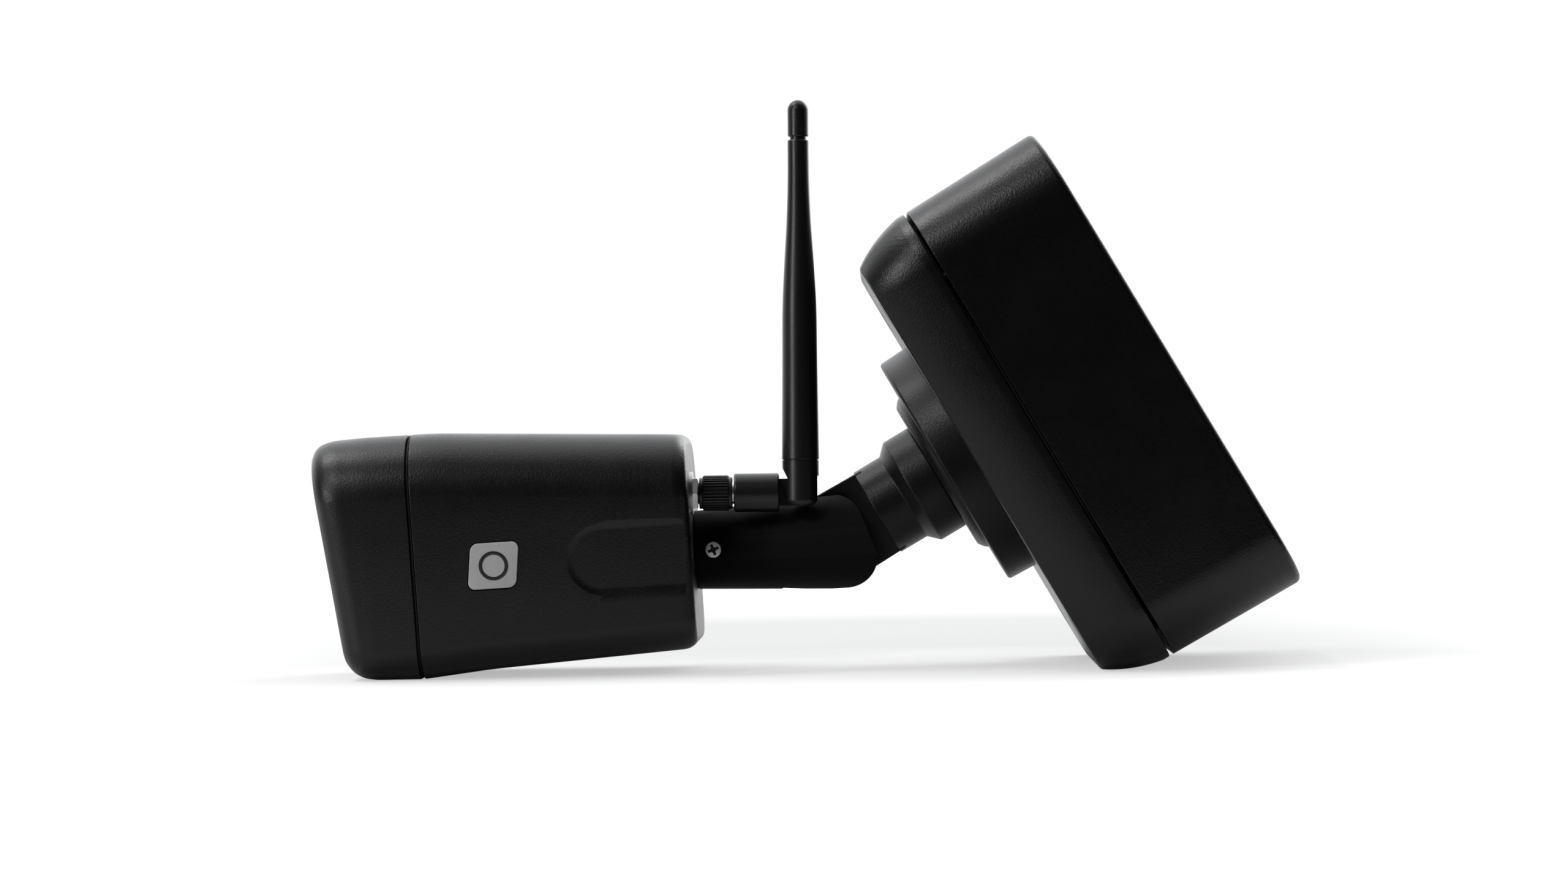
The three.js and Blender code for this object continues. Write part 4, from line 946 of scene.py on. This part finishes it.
def front_panel():
    z = span("face_plate", HEAD)[0].z
    obj = loft("front_panel", [head_ring(z, RIM_WIDTH + 2.4), head_ring(z, RIM_WIDTH + 2.4, at=z + 1.3),
                               head_ring(z, RIM_WIDTH + 2.7, at=z + 1.6)], HEAD)
    cuts = [bore(8.4, z - 1, z + 3, HEAD @ shift(LENS_AT), 64)]
    cuts.append(bore(8.3, z - 1, z + 3, HEAD @ shift(node_middle("pir_dome").x), 64))
    for node in LEDS:
        x, y, _ = node_middle(node)
        cuts.append(bore(2.8, z - 1, z + 3, HEAD @ shift(x, y)))
    combine(obj, cuts)
    soften(obj, 0.15, 2, 50)
    piece(obj, "head", FACE_BLACK, "face_black", "face_plate")


def window_pane():
    low, high = span("front_window", HEAD)
    outline = rectangle(high.x - low.x, high.y - low.y, 6, 12)
    obj = slab("window_pane", outline, low.z, high.z, HEAD @ shift((low.x + high.x) / 2), 0.35, 3)
    piece(obj, "head", WINDOW, "window", "front_window")


def lens_stack():
    z, top = LENS_LOW.z, LENS_HIGH.z
    steps = []
    for k in range(5):
        steps += [(6.4, top - 1.2 - k * 0.6), (6.7, top - 1.5 - k * 0.6)]
    profile = [(6.4, z), (8, z), (8, top - 3), (8, top - 0.4), (7.7, top), (6.9, top), *steps]
    obj = turned("lens_tube", profile, HEAD @ shift(LENS_AT), 96, wrap=True)
    piece(obj, "head", FACE_BLACK, "face_black", "lens_barrel")
    low, high = span("lens_glass", HEAD)
    dome = [(0, low.z), (5.7, low.z), (6, low.z + 0.3), (6, low.z + 4.2)]
    dome += [(6 * math.cos(a), low.z + 4.4 + (high.z - low.z - 4.4) * math.sin(a)) for a in quarter(12)]
    obj = turned("lens_element", [*dome, (0, high.z)], HEAD @ shift(LENS_AT), 72)
    piece(obj, "head", LENS, "lens", "lens_glass")


def infrared_lights():
    for i, node in enumerate(LEDS):
        x, y, _ = node_middle(node)
        z, high = (corner.z for corner in span(node, HEAD))
        dome = [(2.2 * math.cos(a), high - 2.2 + 2.2 * math.sin(a)) for a in quarter(8)]
        profile = [(0, z), (2.4, z), (2.4, z + 0.8), (2.2, z + 1), *dome, (0, high)]
        obj = turned(f"infrared_light_{i + 1}", profile, HEAD @ shift(x, y), 40)
        piece(obj, "head", RESIN, "led", node)


def motion_lens():
    """A milky dome with rings of small flat lenses."""
    low, high = span("pir_dome", HEAD)
    z = low.z
    profile = [(0, z), (9.6, z), (9.6, z + 1.1), (8, z + 1.1), (8, z + 3)]
    profile += [(8 * math.cos(a), z + 3 + (high.z - z - 3) * math.sin(a)) for a in quarter(5, 1)]
    obj = turned("motion_lens", [*profile, (0, high.z)], HEAD @ shift((low.x + high.x) / 2), 16)
    piece(obj, "head", DOME, "sensor_white", "pir_dome", angle=8)


# ---- antenna


def threaded_jack():
    low, high = span("sma_jack", CONNECTOR)
    r, pitch = high.y, 0.7
    profile = [(0, low.z), (r, low.z)]
    z = 3
    while z < high.z - pitch:
        profile += [(r - 0.22, z), (r, z + pitch * 0.3), (r, z + pitch * 0.5), (r - 0.22, z + pitch * 0.8)]
        z += pitch
    profile += [(r - 0.3, high.z), (0, high.z)]
    obj = turned("threaded_jack", profile, CONNECTOR, 64)
    piece(obj, "head", DARK_STEEL, "bright_nickel", "sma_jack")


NUT_FLATS = 8
WASHER_RADIUS = 5.8
WASHER = (-0.8, 1.44)  # lower and upper end


def jack_nut():
    """The nut, seated on a washer that the CAD leaves out."""
    low, high = span("sma_nut", CONNECTOR)
    low.z, high.z = low.z + 0.85, high.z + 0.15
    obj = slab("jack_nut", hexagon(NUT_FLATS), low.z, high.z, CONNECTOR @ turn(30, "Z"), 0)
    r = NUT_FLATS / math.sqrt(3)
    cone = [(0, low.z - 0.1), (r - 0.35, low.z - 0.1), (r + 0.5, low.z + 0.5), (r + 0.5, high.z - 0.45),
            (r - 0.45, high.z + 0.1), (0, high.z + 0.1)]
    cone = turned("cone", cone, CONNECTOR, 72)
    combine(obj, [cone], "INTERSECT")
    combine(obj, [bore(JACK_BORE, low.z - 1, high.z + 1, CONNECTOR, 48)])
    soften(obj, 0.08, 2, 25)
    piece(obj, "head", NICKEL, "bright_nickel", "sma_nut")
    bottom, top = WASHER
    profile = [(JACK_BORE, top), (JACK_BORE, bottom), (WASHER_RADIUS, bottom), (WASHER_RADIUS, top)]
    washer = turned("jack_washer", rounded(profile, [0, 0, 0.12, 0.12], 3), CONNECTOR, 72, wrap=True)
    piece(washer, "head", STEEL, "bright_nickel")


def ribbed_collar():
    """A nut to be turned by hand, with fine ribs along it."""
    low, high = span("antenna_collar", CONNECTOR)
    r, ribs, per_rib, depth = high.y + 0.1, 34, 10, 0.45

    def ring(radius, height, z):
        out = []
        for i in range(ribs * per_rib):
            a = 2 * math.pi * i / (ribs * per_rib)
            lift = max(0.0, min(1.0, 0.5 + 1.3 * math.cos(ribs * a)))
            reach = radius - height * (1 - lift)
            out.append((reach * math.cos(a), reach * math.sin(a), z))
        return out

    stops = [(JACK_BORE, 0, low.z), (r - 0.75, 0, low.z), (r - 0.6, 0, low.z + 0.15),
             (r - 0.6, 0, low.z + 0.9), (r - 0.3, 0.1, low.z + 1), (r, depth, low.z + 1.3),
             (r, depth, high.z - 1.2), (r - 0.3, 0.1, high.z - 0.9), (r - 0.5, 0, high.z - 0.75),
             (r - 0.5, 0, high.z - 0.15), (r - 0.65, 0, high.z), (JACK_BORE, 0, high.z)]
    obj = loft("ribbed_collar", [ring(*stop) for stop in stops], CONNECTOR, wrap=True)
    piece(obj, "antenna_nut", ANTENNA_PLASTIC, "antenna_plastic", "antenna_collar", angle=40)


def antenna_coupling():
    low, high = span("antenna_ferrule", CONNECTOR)
    r = high.y
    profile = rounded([(0, low.z), (r, low.z), (r, high.z), (0, high.z)], [0, 0.2, 0.2, 0], 3)
    obj = turned("antenna_coupling", profile, CONNECTOR, 64)
    piece(obj, "antenna_base", NICKEL, "bright_nickel", "antenna_ferrule")


ELBOW_RADIUS = 3.7
ELBOW_HALF = 1.7  # half the thickness of the elbow's tongue
SLEEVE_END = 24.6
PIN_REACH = 3.9  # how far the pin goes to each side
PIN_BORE = 1.4


def antenna_boot():
    """The sleeve and the elbow tongue that the blade folds about."""
    low, high = span("antenna_sleeve", CONNECTOR)
    r = high.y
    profile = rounded([(0, low.z), (r - 0.15, low.z), (r, low.z + 0.5), (r, SLEEVE_END), (0, SLEEVE_END)],
                      [0, 0.3, 0.3, 0.45, 0], 4)
    obj = turned("antenna_boot", profile, CONNECTOR, 96)
    elbow_at = (CONNECTOR.inverted() @ ELBOW).z
    outline = [(ELBOW_RADIUS, SLEEVE_END - 1), *arc(0, elbow_at, ELBOW_RADIUS, 0, 180, 32),
               (-ELBOW_RADIUS, SLEEVE_END - 1)]
    tongue = slab("tongue", outline, -ELBOW_HALF, ELBOW_HALF, CONNECTOR @ ACROSS, 0.2, 3)
    combine(obj, [tongue], "UNION")
    combine(obj, [bore(3.3, low.z - 1, 16.3, CONNECTOR, 48),
                  bore(PIN_BORE, -9, 9, CONNECTOR @ shift(0, 0, elbow_at) @ ACROSS, 32)])
    soften(obj, 0.1, 2, 45)
    piece(obj, "antenna_base", ANTENNA_PLASTIC, "antenna_plastic", "antenna_sleeve")


def antenna_rod():
    """The tapering blade, with a slot at its foot for the elbow's tongue and a neck for the tip's cap."""
    r, top, tip = 5.0, 94.8, 2.85
    profile = rounded([(0, -3.4), (r - 0.9, -3.4), (r - 0.1, -2.5), (r - 0.1, 8.55)], [0, 0.3, 0.6, 0], 5)
    profile += [(r - 0.28, 8.62), (r - 0.28, 8.82), (r - 0.02, 8.9)]
    taper = [(r - 0.01, 9.2), (4.76, 28), (4.6, 50.5), (3.96, 62), (3.22, 73.6), (tip + 0.02, 84),
             (tip, top - 0.2)]
    profile += rounded(taper, [0, 8, 5, 5, 5, 5, 0], 8)
    profile += [(tip - 0.12, top), (2.2, top), (2.2, 98.6), (0, 98.6)]
    obj = turned("antenna_rod", profile, BLADE, 96)
    side = -r + 1.5
    room = [(-8, -8), (side, -8), (side, 3.9), (-r, 6.8), (-8, 9.4)]
    fork = rectangle(12, 12, 0.3, 2)
    combine(obj, [
        slab("fork", [(x, z - 1.6) for x, z in fork], -ELBOW_HALF - 0.3, ELBOW_HALF + 0.3, BLADE @ ACROSS, 0),
        slab("room", room, -8, 8, BLADE @ ACROSS, 0),
        bore(PIN_BORE, -PIN_REACH - 0.1, PIN_REACH + 0.1, BLADE @ ACROSS, 32),
    ])
    soften(obj, 0.14, 2, 40)
    piece(obj, "antenna_whip", ANTENNA_PLASTIC, "antenna_plastic", "antenna_blade", angle=30)


def antenna_cap():
    low, high = span("antenna_tip", BLADE)
    r = high.y
    dome = [(r * math.cos(a), high.z - r + r * math.sin(a)) for a in quarter(14)]
    profile = [(0, low.z + 3.3), (2.5, low.z + 3.3), (2.5, low.z), (r - 0.15, low.z), (r, low.z + 0.2), *dome]
    obj = turned("antenna_cap", [*profile, (0, high.z)], BLADE, 96)
    piece(obj, "antenna_whip", ANTENNA_PLASTIC, "antenna_plastic", "antenna_tip")


def elbow_pin():
    """The pin is moulded over, so neither of its ends shows."""
    r = span("hinge_pin", BLADE)[1].x
    corners = [(0, -PIN_REACH), (r, -PIN_REACH), (r, PIN_REACH), (0, PIN_REACH)]
    obj = turned("elbow_pin", rounded(corners, [0, 0.25, 0.25, 0], 4), BLADE @ ACROSS, 40)
    piece(obj, "antenna_whip", STEEL, "steel", "hinge_pin")


# ---- everything


def dress_cad_nodes():
    """Materials for the inner pieces that keep their CAD shape."""
    looks = {
        BOARD: ["power_board", "sensor_board", "main_board", "ir_board"],
        CELL: [f"battery_cell_{i + 1}" for i in range(4)],
        RUBBER: ["lid_seal", "front_seal"],
        BLACK_PLASTIC: ["battery_tray"],
        STEEL: ["pan_washer", "pan_nut", "roll_spigot"],
        BRASS: ["tilt_insert"],
    }
    for material, nodes in looks.items():
        for node in nodes:
            data = frame["nodes"][node].data
            data.materials.clear()
            data.materials.append(material)


for build in (back_case, lid_case, port_cover, base_screws, mounting_disc, swivel_collar, swivel_neck,
              bracket_arm, pivot_bolt, arm_lock_screw, head_case, rain_hood, name_badge, card_cover,
              front_panel, window_pane, lens_stack, infrared_lights, motion_lens, threaded_jack, jack_nut,
              ribbed_collar, antenna_coupling, antenna_boot, antenna_rod, antenna_cap, elbow_pin,
              dress_cad_nodes):
    build()


# ---- studio


ROOM_FRONT = 0.03  # brightness of the dark side of the room in reflections
ROOM_BACK = 1.8
ROOM_LEAN = (0, 0.85, 0.52)  # towards the bright side of the room
FLOOR_SIZE = 6
FLOOR_BEHIND = 0.26  # glow of the floor behind the object, where the shadow falls
FLOOR_BESIDE = 0.55
FLOOR_FRONT = 0.66


def floor():
    """A pale floor that turns into the plain background away from the object.

    It glows only to the camera, least behind the object. In reflections it is dark in front of the object.
    """
    corners = [(x * FLOOR_SIZE, y * FLOOR_SIZE, 0) for x, y in ((-1, -1), (1, -1), (1, 1), (-1, 1))]
    obj = solid("floor", corners, [(0, 1, 2, 3)], Matrix.Identity(4))
    if obj.data.polygons[0].normal.z < 0:
        obj.data.flip_normals()
    n = Look("floor")
    pale = n.mix(n.noise(900, 2.0), (0.41, 0.41, 0.41), (0.43, 0.43, 0.43))
    path = n.add("ShaderNodeLightPath").outputs
    seen = path["Is Camera Ray"]
    away = n.add("ShaderNodeVectorMath", {0: n.place}, operation="LENGTH").outputs["Value"]
    beside, depth = n.add("ShaderNodeSeparateXYZ", {"Vector": n.place}).outputs[:2]
    beside = n.math("ABSOLUTE", beside)
    glow = n.math("MAXIMUM", n.remap(away, 0.3, 0.7, FLOOR_BEHIND, 1),
                  n.remap(depth, -0.11, 0.11, FLOOR_FRONT, FLOOR_BEHIND))
    glow = n.math("MAXIMUM", glow, n.remap(beside, 0.1, 0.24, FLOOR_BEHIND, FLOOR_BESIDE))
    mirrored = n.mix(n.remap(depth, -0.24, -0.07, 0, 1), (0.02, 0.02, 0.02), (0.7, 0.7, 0.7))
    n.set(Base_Color=n.mix(seen, n.mix(path["Is Glossy Ray"], (0.18, 0.18, 0.18), mirrored), pale))
    n.set(Roughness=n.remap(n.noise(40), 0.3, 0.7, 0.55, 0.65), Specular_IOR_Level=0.0)
    n.set(Emission_Color=(1.0, 1.0, 1.0), Emission_Strength=n.math("MULTIPLY", glow, seen))
    obj.data.materials.append(n.owner)


def softbox(name, place, target, size, power):
    data = bpy.data.lights.new(name, "AREA")
    data.shape = "RECTANGLE"
    data.size, data.size_y = size
    data.energy = power
    obj = new_object(name, data)
    obj.location = place
    obj.rotation_euler = (Vector(target) - Vector(place)).to_track_quat("-Z", "Y").to_euler()


def studio_world():
    """White to look at; in reflections a bright wall behind the object and a dark room in front of it."""
    n = Tree(bpy.data.worlds.new("studio"))
    n.tree.nodes.clear()
    direction = n.add("ShaderNodeTexCoord").outputs["Generated"]
    lean = n.add("ShaderNodeVectorMath", {0: direction}, operation="DOT_PRODUCT")
    lean.inputs[1].default_value = ROOM_LEAN
    wall = n.remap(lean.outputs["Value"], 0.1, 0.8, ROOM_FRONT, ROOM_BACK)
    seen = n.add("ShaderNodeBackground", Color=(1, 1, 1, 1), Strength=1.0)
    room = n.add("ShaderNodeBackground", {"Strength": wall}, Color=(0.97, 0.98, 1, 1))
    camera_ray = n.add("ShaderNodeLightPath").outputs["Is Camera Ray"]
    mixed = n.add("ShaderNodeMixShader", {0: camera_ray, 1: room.outputs[0], 2: seen.outputs[0]})
    n.add("ShaderNodeOutputWorld", {"Surface": mixed.outputs[0]})
    scene.world = n.owner


CAMERA_AT = (0.022, -1.2, 0.0619)
CAMERA_YAW = 1.289
CAMERA_ROLL = 1.12


def camera():
    """A level view along +Y with a slight turn and roll."""
    data = bpy.data.cameras.new("camera")
    data.lens = 101.25
    data.sensor_width = 36
    yaw, roll = math.radians(CAMERA_YAW), math.radians(CAMERA_ROLL)
    forward = Vector((-math.sin(yaw), math.cos(yaw), 0))
    level = Vector((math.cos(yaw), math.sin(yaw), 0))
    up = Vector((0, 0, 1))
    right = level * math.cos(roll) - up * math.sin(roll)
    above = level * math.sin(roll) + up * math.cos(roll)
    turned_to = Matrix((right, above, -forward)).transposed().to_4x4()
    turned_to.translation = CAMERA_AT
    scene.camera = new_object("camera", data)
    scene.camera.matrix_world = turned_to


floor()
softbox("key", (-0.62, -0.78, 0.85), (0, 0, 0.06), (0.3, 0.3), 3.5)
softbox("strip", (-0.93, -0.78, 0.10), (0, 0, 0.06), (0.16, 0.8), 6.5)
softbox("overhead", (-0.6, 0.05, 1.15), (0, 0, 0.05), (0.45, 0.45), 5)
softbox("back", (0.7, 0.9, 0.6), (0, 0, 0.06), (0.9, 0.9), 8)
studio_world()
camera()
scene.view_settings.view_transform = "Standard"
